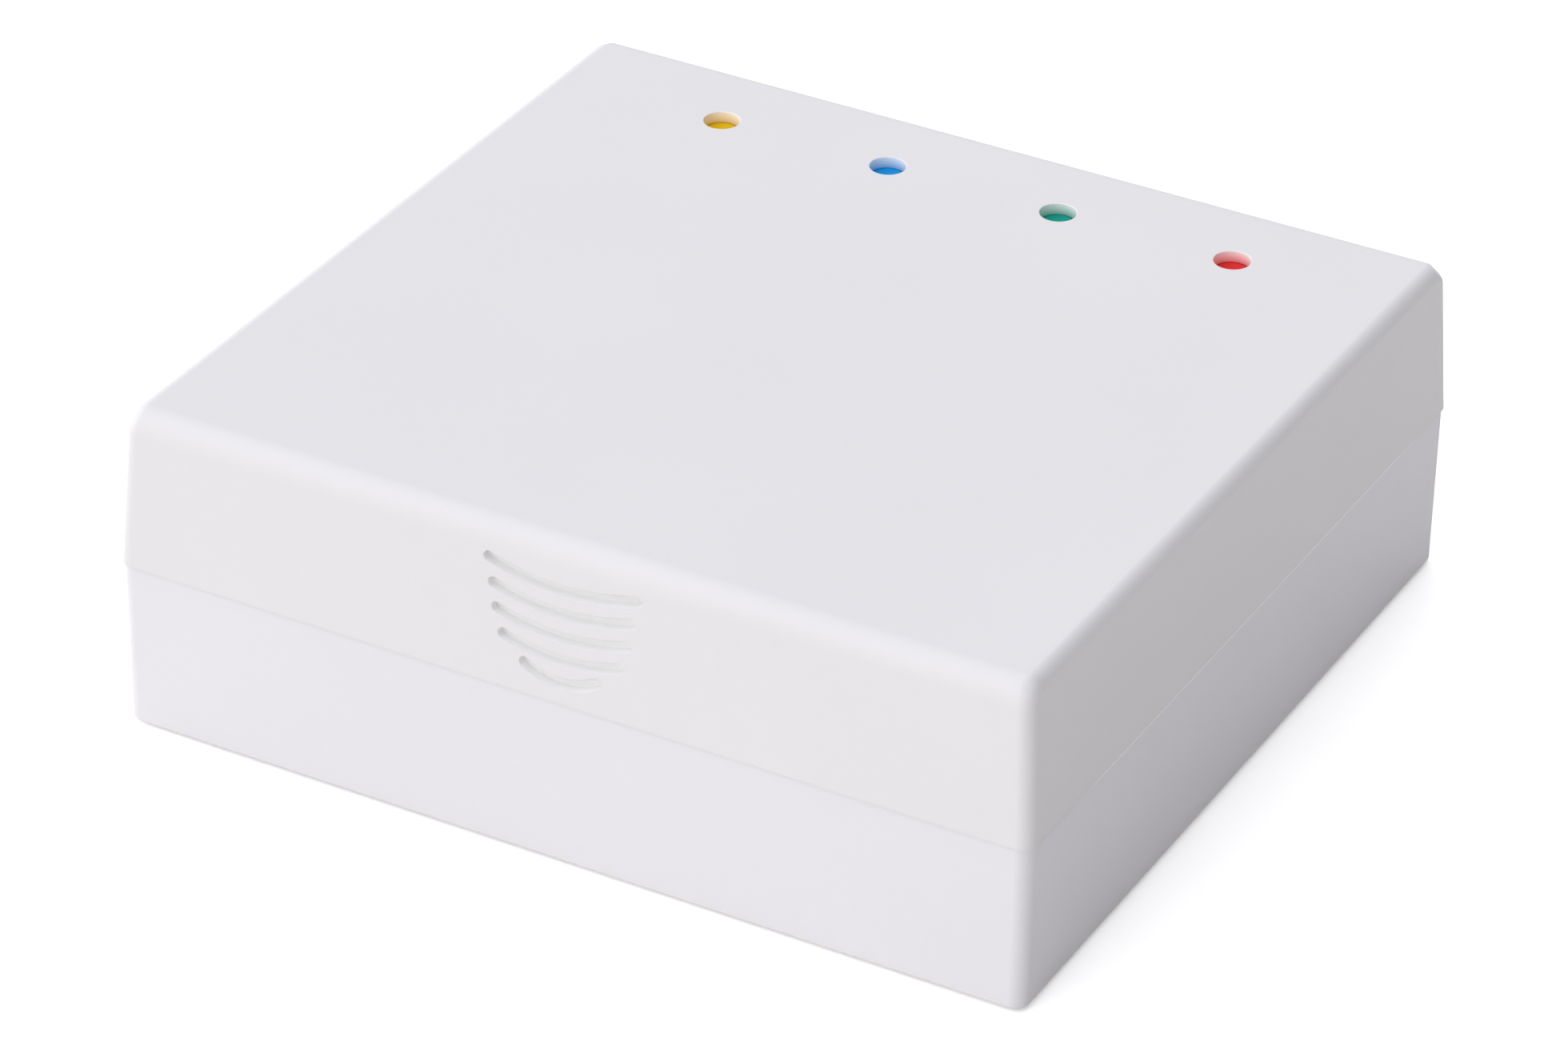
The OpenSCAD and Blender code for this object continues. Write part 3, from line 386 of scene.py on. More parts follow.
class Wire:
    """A value inside a material: Python's operators add the Math nodes."""

    def __init__(self, finish, socket):
        self.finish = finish
        self.socket = socket

    def maths(self, operation, *values):
        return self.finish.node("ShaderNodeMath", {"operation": operation}, dict(enumerate(values)))

    def __add__(self, other):
        return self.maths("ADD", self, other)

    def __radd__(self, other):
        return self.maths("ADD", other, self)

    def __sub__(self, other):
        return self.maths("SUBTRACT", self, other)

    def __rsub__(self, other):
        return self.maths("SUBTRACT", other, self)

    def __mul__(self, other):
        return self.maths("MULTIPLY", self, other)

    def __rmul__(self, other):
        return self.maths("MULTIPLY", other, self)

    def __truediv__(self, other):
        return self.maths("DIVIDE", self, other)

    def above(self, level):
        return self.maths("GREATER_THAN", self, level)

    def below(self, level):
        return self.maths("LESS_THAN", self, level)

    def size(self):
        return self.maths("ABSOLUTE", self)

    def at_most(self, level):
        return self.maths("MINIMUM", self, level)

    def at_least(self, level):
        return self.maths("MAXIMUM", self, level)


class NodeDesk:
    """Adds nodes to one node tree."""

    def __init__(self, tree):
        self.tree = tree

    def node(self, kind, settings=None, inputs=None, output=0):
        """Adds a node, sets it up, fills its inputs with values or links, and returns an output."""
        made = self.tree.nodes.new(kind)
        for key, value in (settings or {}).items():
            setattr(made, key, value)
        for key, value in (inputs or {}).items():
            self.feed(made.inputs[key], value)
        return Wire(self, made.outputs[output])

    def feed(self, socket, value):
        if isinstance(value, Wire):
            self.tree.links.new(value.socket, socket)
        else:
            socket.default_value = value

    def mix(self, share, first, second):
        """A colour between two colours."""
        return self.node("ShaderNodeMix", {"data_type": "RGBA"},
                         {0: share, 6: tone4(first), 7: tone4(second)}, 2)

    def seen_rays(self):
        """1 where a camera, a reflection or clear plastic looks, 0 for light on the object."""
        rays = [self.node("ShaderNodeLightPath", output=kind)
                for kind in ("Is Camera Ray", "Is Glossy Ray", "Is Transmission Ray")]
        return (rays[0] + rays[1] + rays[2]).at_most(1)


class Finish(NodeDesk):
    """One material: a Principled surface and the nodes that vary it."""

    def __init__(self, name, base, roughness, metallic=0.0, **constants):
        self.material = bpy.data.materials.new(name)
        self.material.use_nodes = True
        super().__init__(self.material.node_tree)
        self.skin = self.tree.nodes["Principled BSDF"]
        self.skin.inputs["Base Color"].default_value = (*base, 1)
        self.skin.inputs["Roughness"].default_value = roughness
        self.skin.inputs["Metallic"].default_value = metallic
        for key, value in constants.items():
            self.skin.inputs[key.replace("_", " ")].default_value = value
        self.place = self.node("ShaderNodeTexCoord", output="Object")

    def axes(self):
        """The three coordinates of the place on the object."""
        return [self.node("ShaderNodeSeparateXYZ", None, {"Vector": self.place}, axis)
                for axis in "XYZ"]

    def within(self, middle, radius):
        """1 inside a circle seen from above, 0 outside it."""
        x, y, _ = self.axes()
        across, along = x - middle.x, y - middle.y
        return (across * across + along * along).below(radius ** 2)

    def noise(self, size, detail=3, stretch=(1, 1, 1)):
        """Soft random cells of about this size, from 0 to 1."""
        place = self.node("ShaderNodeMapping", None, {"Vector": self.place, "Scale": stretch})
        return self.node("ShaderNodeTexNoise", None,
                         {"Vector": place, "Scale": 1 / size, "Detail": detail}, "Fac")

    def vary(self, **links):
        """Feeds the surface's own inputs."""
        for key, value in links.items():
            self.feed(self.skin.inputs[key.replace("_", " ")], value)
        return self

    def bump(self, height, depth, strength=1.0):
        """Relief: height from 0 to 1 over this depth in metres."""
        normal = self.node("ShaderNodeBump", None,
                           {"Height": height, "Distance": depth, "Strength": strength})
        return self.vary(Normal=normal)


def tone4(value):
    return value if isinstance(value, Wire) else (*value, 1)


def shade_of(tone, factor):
    return tuple(min(1.0, level * factor) for level in tone)


# ---- Materials ----

def satin_white(name, tone):
    """Satin white plastic with fine spark-eroded grain; painted light brightens the grooves, a
    painted highlight runs along the seam and a painted glow lights the indicator holes.
    """
    finish = Finish(name, tone, 0.46, Specular_IOR_Level=0.42, Emission_Strength=1.0)
    cloud, grain = finish.noise(30 * MM, 2), finish.noise(0.22 * MM, 2)
    body = finish.mix(cloud, shade_of(tone, 0.985), shade_of(tone, 1.015))
    painted_glow = (0, 0, 0)
    plan = CasePlan()
    # painted light: the grooves get a brighter white, and the seam gets a brighter white with
    # emitted light as a painted highlight
    for share, white, light in ((groove_painted_light_share(finish, plan), 0.9, 0.0),
                                (seam_painted_highlight_share(finish, plan), 0.98, 0.08)):
        body = finish.mix(share, body, (white, white, white))
        painted_glow = finish.mix(share, painted_glow, (light, light, light))
    # painted glow of the indicators on the walls of their holes
    body, painted_glow = paint_hole_glow(finish, plan, body, painted_glow)
    finish.vary(Base_Color=body, Emission_Color=painted_glow, Roughness=0.42 + 0.08 * grain)
    return finish.bump(grain, 0.004 * MM, 0.5)


def groove_painted_light_share(finish, plan):
    """1 inside the grooves of the cover's front wall, where painted light brightens them, 0
    elsewhere.
    """
    x, y, z = finish.axes()
    depth = y + plan.cover_y - (z - plan.seam) * math.tan(sizes().cover_draft)
    shallow, deep = 0.12 * MM, 1.6 * MM
    low, high, half = plan.groove_zone
    return depth.above(shallow) * depth.below(deep) * x.size().below(half) \
        * z.above(low) * z.below(high)


def seam_painted_highlight_share(finish, plan):
    """1 along the seam of the right side, where a painted highlight lies, fading before its ends.
    """
    x, y, z = finish.axes()
    end, fading, half = 48 * MM, 10 * MM, 0.15 * MM
    fade = ((end - y.size()) / fading).at_least(0).at_most(1)
    return fade * (z - plan.seam).size().below(half) * x.above(plan.cover_x - 1 * MM)


def paint_hole_glow(finish, plan, body, painted_glow):
    """Paints the indicator's glow on the wall of each indicator hole, as colour and emitted light,
    more so near its lens.
    """
    _, _, z = finish.axes()
    lens_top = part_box(LENS_NODES[0])[1].z
    depth = ((plan.top - z) / (plan.top - lens_top)).at_least(0).at_most(1)
    reach = details().lens_hole / 2 + TOUCH
    # painted glow: the wall goes from near white at the rim to the lens colour at the bottom, with
    # faint emitted light
    white, faint = (0.95, 0.94, 0.93), (0.07, 0.065, 0.065)
    for middle, tone in zip(lens_places(), lens_tones()):
        near = finish.within(middle, reach)
        wall = finish.mix(0.6 * depth, white, tone)
        body = finish.mix(near, body, wall)
        light = finish.mix(depth, faint, shade_of(tone, 0.14))
        painted_glow = finish.mix(near, painted_glow, light)
    return body, painted_glow


def moulded(name, tone, roughness, grain_size=0.2 * MM, depth=0.006 * MM):
    """Moulded plastic: soft cloudiness, fine grain."""
    finish = Finish(name, tone, roughness)
    cloud, grain = finish.noise(6 * MM, 3), finish.noise(grain_size, 2)
    finish.vary(Base_Color=finish.mix(cloud, shade_of(tone, 0.88), shade_of(tone, 1.12)),
                Roughness=(roughness - 0.06) + 0.12 * grain)
    return finish.bump(grain, depth, 0.6)


def metal(name, tone, roughness, stretch=(1, 1, 1), scratch=0.35 * MM):
    """Plated or turned metal with fine stretched streaks."""
    finish = Finish(name, tone, roughness, 1.0)
    streak, stain = finish.noise(scratch, 3, stretch), finish.noise(4 * MM, 3)
    finish.vary(Base_Color=finish.mix(stain, shade_of(tone, 0.9), shade_of(tone, 1.05)),
                Roughness=(roughness - 0.08) + 0.16 * streak)
    return finish.bump(streak, 0.003 * MM, 0.5)


def lens(name, tone, middle):
    """Tinted clear plastic that carries its lamp's light, with painted shade darkening it round its
    edge.
    """
    finish = Finish(name, tone, 0.4, Emission_Strength=0.05, Specular_IOR_Level=0.1)
    frost = finish.noise(0.3 * MM, 2)
    # painted shade: a darker band round the lens's edge, in both its colour and its glow
    painted_shade_rim = 0.42 * MM
    inner = finish.within(middle, details().lens_hole / 2 - painted_shade_rim)
    clear = finish.mix(frost, shade_of(tone, 0.88), shade_of(tone, 0.96))
    finish.vary(Base_Color=finish.mix(inner, shade_of(tone, 0.62), clear),
                Emission_Color=finish.mix(inner, shade_of(tone, 0.5), clear),
                Roughness=0.36 + 0.08 * frost)
    return finish.bump(frost, 0.003 * MM, 0.4)


def board_laminate():
    """Solder resist over copper tracks."""
    tone, copper = (0.012, 0.085, 0.035), (0.025, 0.16, 0.062)
    finish = Finish("board_laminate", tone, 0.35)
    tracks = finish.node("ShaderNodeTexBrick",
                         {"offset": 0.5, "squash": 0.6, "squash_frequency": 3},
                         {"Vector": finish.place, "Scale": 1 / (6 * MM), "Mortar Size": 0.035,
                          "Mortar Smooth": 0.1, "Brick Width": 0.9, "Row Height": 0.22}, "Fac")
    weave = finish.noise(0.4 * MM, 2)
    finish.vary(Base_Color=finish.mix(tracks, tone, copper), Roughness=0.3 + 0.1 * weave)
    return finish.bump(tracks + 0.15 * weave, 0.02 * MM, 0.6)


def make_finishes():
    """Every material, by the record's slot."""
    look = finishes()
    made = {
        "case_white": satin_white("cover_white", tuple(look.cover_white)),
        "base_white": satin_white("base_white", tuple(look.base_white)),
        "foot_rubber": moulded("foot_rubber", (0.085, 0.085, 0.09), 0.75, 0.15 * MM, 0.012 * MM),
        "screw_steel": metal("screw_steel", (0.62, 0.62, 0.64), 0.3),
        "board_laminate": board_laminate(),
        "lamp_body": moulded("lamp_body", (0.86, 0.84, 0.76), 0.35),
        "socket_black": moulded("socket_black", (0.014, 0.014, 0.016), 0.42),
        "socket_green": moulded("socket_green", (0.012, 0.2, 0.07), 0.38),
        "shell_tin": metal("shell_tin", (0.75, 0.76, 0.77), 0.28, (1, 6, 1)),
        "contact_gold": metal("contact_gold", (0.9, 0.66, 0.24), 0.22),
        "optic_steel": metal("optic_steel", (0.66, 0.66, 0.68), 0.25, (1, 12, 1), 0.2 * MM),
        "optic_ceramic": moulded("optic_ceramic", (0.86, 0.86, 0.83), 0.16),
        "chip_black": moulded("chip_black", (0.02, 0.02, 0.022), 0.55, 0.08 * MM),
        "pad_grey": moulded("pad_grey", (0.17, 0.2, 0.27), 0.7),
        "sink_aluminium": metal("sink_aluminium", (0.7, 0.71, 0.73), 0.38, (1, 10, 1)),
        "can_aluminium": metal("can_aluminium", (0.74, 0.75, 0.77), 0.26, (1, 1, 12)),
        "sleeve_navy": moulded("sleeve_navy", (0.008, 0.012, 0.035), 0.3),
        "core_ferrite": moulded("core_ferrite", (0.03, 0.03, 0.033), 0.6),
        "plunger_ivory": moulded("plunger_ivory", (0.6, 0.56, 0.42), 0.4),
    }
    for node, tone, middle in zip(LENS_NODES, lens_tones(), lens_places()):
        slot = node.replace("light_pipe", "lens")
        made[slot] = lens(slot, tone, middle)
    return {slot: finish.material for slot, finish in made.items()}


# ---- The case ----

class CasePlan:
    """Heights and half sizes of the case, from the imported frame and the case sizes."""

    def __init__(self):
        """The bay is half its width, low and high; the groove zone is low, high and half."""
        case = sizes()
        cover_low, cover_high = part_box("top_cover")
        base_low, base_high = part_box("base_shell")
        self.cover_x, self.cover_y = cover_high.x, cover_high.y
        self.base_x, self.base_y = base_high.x, base_high.y
        self.tongue_low = cover_low.z
        self.seam = base_high.z
        self.top = cover_high.z
        self.under = base_low.z
        self.ceiling = self.top - case.top_panel
        self.floor = self.under + case.floor
        self.rebate = self.tongue_low - case.fit
        self.column_top = self.seam - 3 * MM
        self.groove_zone = self.seam + 1 * MM, self.top - 4 * MM, 12 * MM
        self.bay_y = self.base_y - details().bay_depth
        self.panel_y = self.bay_y - case.wall
        board_low, board_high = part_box("main_board")
        self.board_low, self.board_top = board_low.z, board_high.z
        self.bay = self.base_x - 9 * MM, self.board_top - 2.6 * MM, self.rebate - 1.2 * MM
        screw_head, foot, board_screw_head = 2.7 * MM, 4.5 * MM, 2.3 * MM
        self.screws = self.corners_of("case_screws", screw_head)
        self.feet = self.corners_of("rubber_feet", foot)
        self.posts = self.corners_of("board_screws", board_screw_head)

    @staticmethod
    def corners_of(node, radius):
        """The middles of a node's four round pieces, one near each corner of its box."""
        low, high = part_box(node)
        return [(x, y) for x in (low.x + radius, high.x - radius)
                for y in (low.y + radius, high.y - radius)]

    def cover_half(self, z):
        lean = (z - self.seam) * math.tan(sizes().cover_draft)
        return self.cover_x - lean, self.cover_y - lean

    def base_half(self, z):
        lean = (self.seam - z) * math.tan(sizes().base_draft)
        return self.base_x - lean, self.base_y - lean


def cover_body(name, plan, low, inset, top, corner, roll_y, roll_x):
    """The cover's outer or inner form: leaning walls, round corners and rolled top edges."""
    low_x, low_y = (half - inset for half in plan.cover_half(low))
    end_y = plan.cover_half(top - roll_y)[1] - inset - roll_y
    end_x = plan.cover_half(top - roll_x)[0] - inset - roll_x
    shoulder = top - roll_y
    side_x, side_y = (half - inset - corner for half in plan.cover_half(shoulder))
    pieces = [rod("corner", (x, y, low), (x, y, low + THIN), corner, ROUND)
              for x, y in mirror_places(low_x - corner, low_y - corner)]
    pieces += [ball("shoulder", (x, y, shoulder), corner) for x, y in mirror_places(side_x, side_y)]
    for side in (-1, 1):
        pieces.append(rod("roll", (-end_x, side * end_y, top - roll_y),
                          (end_x, side * end_y, top - roll_y), roll_y, ROUNDER))
        pieces.append(rod("roll", (side * end_x, -end_y, top - roll_x),
                          (side * end_x, end_y, top - roll_x), roll_x, ROUNDER))
    return stretch_over(name, pieces)


def base_body(name, plan, low, high, inset, corner, roll):
    """The base's outer or inner form: nearly upright walls and a small roll underneath."""
    pieces = []
    for height in (high, low + roll):
        half_x, half_y = (half - inset - corner for half in plan.base_half(height))
        pieces += [rod("corner", (x, y, height - THIN), (x, y, height), corner, ROUND)
                   for x, y in mirror_places(half_x, half_y)]
    steps = 6
    for step in range(1, steps + 1):
        turn = math.pi / 2 * step / steps
        height = low + roll * (1 - math.sin(turn))
        radius = corner - roll * (1 - math.cos(turn))
        pieces += [rod("corner", (x, y, height), (x, y, height + THIN), radius, ROUND)
                   for x, y in mirror_places(half_x, half_y)]
    return stretch_over(name, pieces)


def corner_webs(x, y, reach, low, high):
    """Two webs from a column at x, y to the walls of its corner."""
    end_x, end_y = x + math.copysign(reach, x), y + math.copysign(reach, y)
    return [block("web", (min(x, end_x), y - WEB, low), (max(x, end_x), y + WEB, high)),
            block("web", (x - WEB, min(y, end_y), low), (x + WEB, max(y, end_y), high))]


def rounded_block(name, low, high, radius, axis="Z"):
    """A block with its four edges along one axis rounded."""
    obj = block(name, low, high)
    index = "XYZ".index(axis)

    def along(edge):
        a, b = (obj.data.vertices[i].co for i in edge.vertices)
        return abs(a[index] - b[index]) > THIN

    pick(obj, "EDGE", along)
    bpy.ops.mesh.bevel(offset=radius, offset_type="OFFSET", segments=8, profile=0.5, affect="EDGES")
    leave()
    return obj


def groove(name, face_y, low, radius, half, width, depth, reach):
    """A smile-shaped bar with round ends, its lowest point at the given height."""
    sweep, steps, end_sides = math.asin(half / radius), 36, 40
    middle_y = face_y + depth / 2 - reach / 2
    hub = Vector((0, middle_y, low + radius))
    tip = Vector((radius * math.sin(sweep), 0, -radius * math.cos(sweep)))
    start = hub + Vector((-tip.x, 0, tip.z))
    bpy.ops.object.select_all(action="DESELECT")
    bpy.ops.mesh.primitive_plane_add(size=1, location=start, rotation=(0, math.pi / 2 + sweep, 0))
    bpy.context.active_object.scale = (width, depth + reach, 1)
    bar = settle(name)
    pick(bar, "FACE", lambda face: True)
    bpy.ops.mesh.delete(type="ONLY_FACE")
    bpy.ops.mesh.select_all(action="SELECT")
    bpy.ops.mesh.spin(steps=steps, angle=2 * sweep, center=hub, axis=(0, 1, 0))
    bpy.ops.mesh.select_all(action="SELECT")
    bpy.ops.mesh.fill_holes(sides=4)
    bpy.ops.mesh.normals_make_consistent(inside=False)
    leave()
    pieces = [bar]
    half_depth = Vector((0, (depth + reach) / 2, 0))
    for side in (-1, 1):
        end = hub + Vector((side * tip.x, 0, tip.z))
        pieces.append(rod("end", end - half_depth, end + half_depth, width / 2, end_sides))
    return pieces


def lens_places():
    """The middle of each indicator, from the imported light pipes."""
    return [(sum(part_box(node), Vector()) / 2).to_2d() for node in LENS_NODES]


def lens_tones():
    """The colour of each indicator, in the same order."""
    look = finishes()
    return [tuple(tone) for tone in (look.lens_yellow, look.lens_blue, look.lens_green,
                                     look.lens_red)]


class TERMINAL_OT_cover(bpy.types.Operator):
    """Builds the top cover: rolled white shell, indicator holes and smile grooves"""
    bl_idname = "terminal.cover"
    bl_label = "Top cover"

    def execute(self, context):
        case, detail, plan = sizes(), details(), CasePlan()
        cover = cover_body("cover_shell", plan, plan.seam, 0, plan.top, case.corner,
                           case.front_roll, case.side_roll)
        inner_corner, inner_roll, sleeve_wall = 0.8 * MM, 1.2 * MM, 1.5 * MM
        cut(cover, cover_body("hollow", plan, plan.seam - 2 * THIN, case.wall, plan.ceiling,
                              inner_corner, inner_roll, inner_roll))
        add(cover, self.tongue(plan, case), *self.bosses(plan, case), *self.ribs(plan, case))
        add(cover, *[rod("sleeve", (x, y, plan.ceiling - detail.sleeve),
                         (x, y, plan.ceiling + SINK), detail.lens_hole / 2 + sleeve_wall, ROUND)
                     for x, y in lens_places()])
        cut(cover, *[rod("hole", (x, y, plan.ceiling - 2 * detail.sleeve),
                         (x, y, plan.top + PAST), detail.lens_hole / 2, ROUNDER)
                     for x, y in lens_places()])
        cut(cover, *self.grooves(plan, detail))
        hole_edge = 0.6 * case.soft_edge
        soften(cover, hole_edge, lambda at: at.z > plan.top - TOUCH, 3)
        soften(cover, case.soft_edge, lambda at: self.on_groove_rim(at, plan), 3)
        soften(cover, case.seam_edge, lambda at: self.on_low_edge(at, plan), 3)
        finish_piece(cover, "top_cover", context.scene["case_white_material"])
        return {"FINISHED"}

    @staticmethod
    def on_groove_rim(at, plan):
        """True on the front face, between the seam and the top roll."""
        face_y = -plan.cover_half(at.z)[1]
        low, high, half = plan.groove_zone
        return low < at.z < high and abs(at.x) < half and abs(at.y - face_y) < 0.6 * TOUCH

    @staticmethod
    def on_low_edge(at, plan):
        """True on the cover's outer edge at the seam."""
        rim = 0.9 * MM
        off_tongue = abs(at.x) > plan.base_x - rim or abs(at.y) > plan.base_y - rim
        return abs(at.z - plan.seam) < TOUCH and off_tongue

    @staticmethod
    def tongue(plan, case):
        """The thin wall that drops into the base."""
        out_x = plan.base_x - case.rim - case.fit
        out_y = plan.base_y - case.rim - case.fit
        in_x, in_y = out_x - case.tongue, out_y - case.tongue
        out_corner, in_corner, rise = 1.2 * MM, 1 * MM, 1 * MM
        tongue = rounded_block("tongue", (-out_x, -out_y, plan.tongue_low),
                               (out_x, out_y, plan.seam + rise), out_corner)
        cut(tongue, rounded_block("inside", (-in_x, -in_y, plan.tongue_low - PAST),
                                  (in_x, in_y, plan.seam + rise + PAST), in_corner))
        return tongue

    @staticmethod
    def bosses(plan, case):
        """Screw bosses with two webs each, their pilot holes open below."""
        made = []
        radius, pilot = 3.2 * MM, 1.55 * MM
        low = plan.column_top
        hole_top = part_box("case_screws")[1].z + 1 * MM
        for x, y in plan.screws:
            boss = rod("boss", (x, y, low), (x, y, plan.ceiling + SINK), radius)
            add(boss, *corner_webs(x, y, case.wall + radius, low + 4 * MM,
                                   plan.ceiling + 0.4 * SINK))
            cut(boss, rod("pilot", (x, y, low - PAST), (x, y, hole_top), pilot))
            made.append(boss)
        return made

    @staticmethod
    def ribs(plan, case):
        """Stiffening ribs under the top panel."""
        margin, depth = 2 * MM, 3 * MM
        rows, columns, front = (-30 * MM, -6 * MM, 18 * MM), (-28 * MM, 28 * MM), -42.6 * MM
        span = plan.cover_half(plan.ceiling)[0] - case.wall - margin
        low, high = plan.ceiling - depth, plan.ceiling + SINK
        made = [block("rib", (-span, y - WEB, low), (span, y + WEB, high)) for y in rows]
        made += [block("rib", (x - WEB, front, low), (x + WEB, rows[-1] + WEB, high))
                 for x in columns]
        return made

    @staticmethod
    def grooves(plan, detail):
        """Five smiles, widening upwards: the radius of each and half its width."""
        radii = [8.6 * MM, 24.5 * MM, 28 * MM, 30 * MM, 30 * MM]
        halves = [4.6 * MM, 7.5 * MM, 8.4 * MM, 8.9 * MM, 9.6 * MM]
        reach = 2 * MM
        made = []
        for row, (radius, half) in enumerate(zip(radii, halves)):
            low = plan.seam + detail.groove_low + row * detail.groove_pitch
            made += groove("groove", -plan.cover_half(low)[1], low, radius, half,
                           detail.groove_width, detail.groove_depth, reach)
        return made


class TERMINAL_OT_base(bpy.types.Operator):
    """Builds the base: floor, walls, back bay with its socket windows, columns and vents"""
    bl_idname = "terminal.base"
    bl_label = "Base shell"

    def execute(self, context):
        case, plan = sizes(), CasePlan()
        base = base_body("base_case", plan, plan.under, plan.seam, 0, case.corner, case.bottom_roll)
        inner_corner, inner_roll, rebate_corner = 0.8 * MM, 0.4 * MM, 1.2 * MM
        cut(base, base_body("hollow", plan, plan.floor, plan.seam + PAST, case.wall,
                            inner_corner, inner_roll))
        rim_x, rim_y = plan.base_x - case.rim, plan.base_y - case.rim
        cut(base, rounded_block("rebate", (-rim_x, -rim_y, plan.rebate),
                                (rim_x, rim_y, plan.seam + 2 * PAST), rebate_corner))
        add(base, self.panel(plan), *self.columns(plan, case), *self.pads(plan))
        cut(base, *self.back_openings(plan))
        cut(base, *self.screw_holes(plan))
        cut(base, *self.floor_openings(plan))
        soften(base, case.seam_edge, lambda at: self.on_rim(at, plan), 3)
        soften(base, 2 * case.soft_edge, lambda at: self.on_bay_edge(at, plan), 3)
        soften(base, case.soft_edge, lambda at: self.on_window_edge(at, plan), 2)
        soften(base, case.soft_edge, lambda at: at.z < plan.under + 2 * THIN, 2)
        finish_piece(base, "base_shell", context.scene["base_white_material"])
        return {"FINISHED"}

    @staticmethod
    def on_rim(at, plan):
        """True on the base's outer edge at the seam."""
        radius, strip, band = sizes().corner, 0.3 * MM, 0.2 * MM
        past_x, past_y = abs(at.x) - plan.base_x, abs(at.y) - plan.base_y
        outside = max(past_x, past_y) > -strip
        corner = min(past_x, past_y) > -radius
        reach = math.hypot(past_x + radius, past_y + radius)
        return abs(at.z - plan.seam) < TOUCH and (outside or corner and reach > radius - band)

    @staticmethod
    def on_bay_edge(at, plan):
        """True round the bay's mouth in the back wall."""
        over_floor, under_seam = 2 * MM, 1 * MM
        inside = plan.under + over_floor < at.z < plan.seam - under_seam
        return inside and at.y > plan.base_half(at.z)[1] - 3 * THIN

    @staticmethod
    def on_window_edge(at, plan):
        """True round the openings in the bay's back."""
        half, low, high = plan.bay
        edge = 0.2 * MM
        return abs(at.y - plan.bay_y) < 2 * THIN and abs(at.x) < half - edge \
            and low + edge < at.z < high - edge

    @staticmethod
    def panel(plan):
        """Thick inner panel behind the bay."""
        half = plan.bay[0] + 2 * MM
        return block("panel", (-half, plan.panel_y, plan.floor - 2 * SINK),
                     (half, plan.base_y - 2 * SINK, plan.rebate))

    @staticmethod
    def columns(plan, case):
        """Four screw columns with webs to the walls, and four board posts."""
        made = []
        low, high = plan.floor - SINK, plan.column_top
        radius, post, reach, step = 4 * MM, 3.2 * MM, 3.4 * MM, 1.5 * MM
        for x, y in plan.screws:
            column = rod("column", (x, y, low), (x, y, high), radius)
            add(column, *corner_webs(x, y, case.wall + reach, low, high - step))
            made.append(column)
        made += [rod("post", (x, y, low), (x, y, plan.board_low), post) for x, y in plan.posts]
        return made

    @staticmethod
    def pads(plan):
        """Raised floor over the foot pockets and round the keyholes."""
        detail = details()
        low, foot_top, keyhole_top = (plan.floor + z for z in (-SINK, 0.4 * MM, 0.8 * MM))
        foot_radius, margin = 6 * MM, 2 * MM
        made = [rod("foot_pad", (x, y, low), (x, y, foot_top), foot_radius)
                for x, y in plan.feet]
        half = detail.keyhole / 2 + margin
        made += [block("keyhole_pad", (x - half, -half, low),
                       (x + half, half + detail.keyhole_run, keyhole_top))
                 for x in (-detail.keyhole_pitch / 2, detail.keyhole_pitch / 2)]
        return made

    @staticmethod
    def back_openings(plan):
        """The bay and the five openings in it."""
        half, low, high = plan.bay
        bay_corner, window_corner, slack = 2 * MM, 0.6 * MM, 0.2 * MM
        made = [rounded_block("bay", (-half, plan.bay_y, low), (half, plan.base_y + PAST, high),
                              bay_corner, "Y")]
        near, far = plan.panel_y - PAST, plan.bay_y + PAST
        for node in ("lan_jack_shield", "optical_adapter"):
            left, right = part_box(node)
            made.append(rounded_block("window", (left.x - slack, near, plan.board_top - slack),
                                      (right.x + slack, far, right.z + slack), window_corner,
                                      "Y"))
        for node, radius in (("dc_jack_pin", 4.1 * MM), ("power_button", 3.6 * MM),
                             ("reset_plunger", 1.1 * MM)):
            middle = sum(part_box(node), Vector()) / 2
            made.append(rod("round_window", (middle.x, near, middle.z), (middle.x, far, middle.z),
                            radius, ROUND))
        return made

    @staticmethod
    def screw_holes(plan):
        """Wells and shank holes in the columns, room for the cover's bosses, board pilots."""
        made = []
        well_depth, well, shank, boss_room = 9 * MM, 3 * MM, 1.7 * MM, 3.5 * MM
        pilot, skin = 1.3 * MM, 0.8 * MM
        for x, y in plan.screws:
            made.append(rod("well", (x, y, plan.under - PAST), (x, y, plan.under + well_depth),
                            well))
            made.append(rod("shank_hole", (x, y, plan.under), (x, y, plan.column_top + PAST),
                            shank))
            made.append(rod("relief", (x, y, plan.column_top), (x, y, plan.seam + PAST),
                            boss_room))
        made += [rod("pilot", (x, y, plan.under + skin), (x, y, plan.board_low + PAST), pilot)
                 for x, y in plan.posts]
        return made

    @staticmethod
    def floor_openings(plan):
        """Foot pockets, keyholes and two fields of vent slots."""
        detail = details()
        low, high = plan.under - PAST, plan.floor + 2 * PAST
        pocket_depth, pocket = 0.8 * MM, 4.6 * MM
        made = [rod("foot_pocket", (x, y, low), (x, y, plan.under + pocket_depth), pocket)
                for x, y in plan.feet]
        for x in (-detail.keyhole_pitch / 2, detail.keyhole_pitch / 2):
            made.append(rod("keyhole", (x, 0, low), (x, 0, high), detail.keyhole / 2, ROUND))
            made.append(rounded_block("keyhole_slot", (x - detail.keyhole_slot / 2, 0, low),
                                      (x + detail.keyhole_slot / 2,
                                       detail.keyhole_run + detail.keyhole_slot / 2, high),
                                      detail.keyhole_slot * 0.499))
        slot, reach, pitch, rows = 0.8 * MM, 9 * MM, 4 * MM, (-28 * MM, 26 * MM)
        for y in rows:
            for column in range(-6, 7):
                x = column * pitch
                made.append(rounded_block("vent", (x - slot, y - reach, low),
                                          (x + slot, y + reach, high), slot * 0.999))
        return made


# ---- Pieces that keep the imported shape, with their edges rounded ----

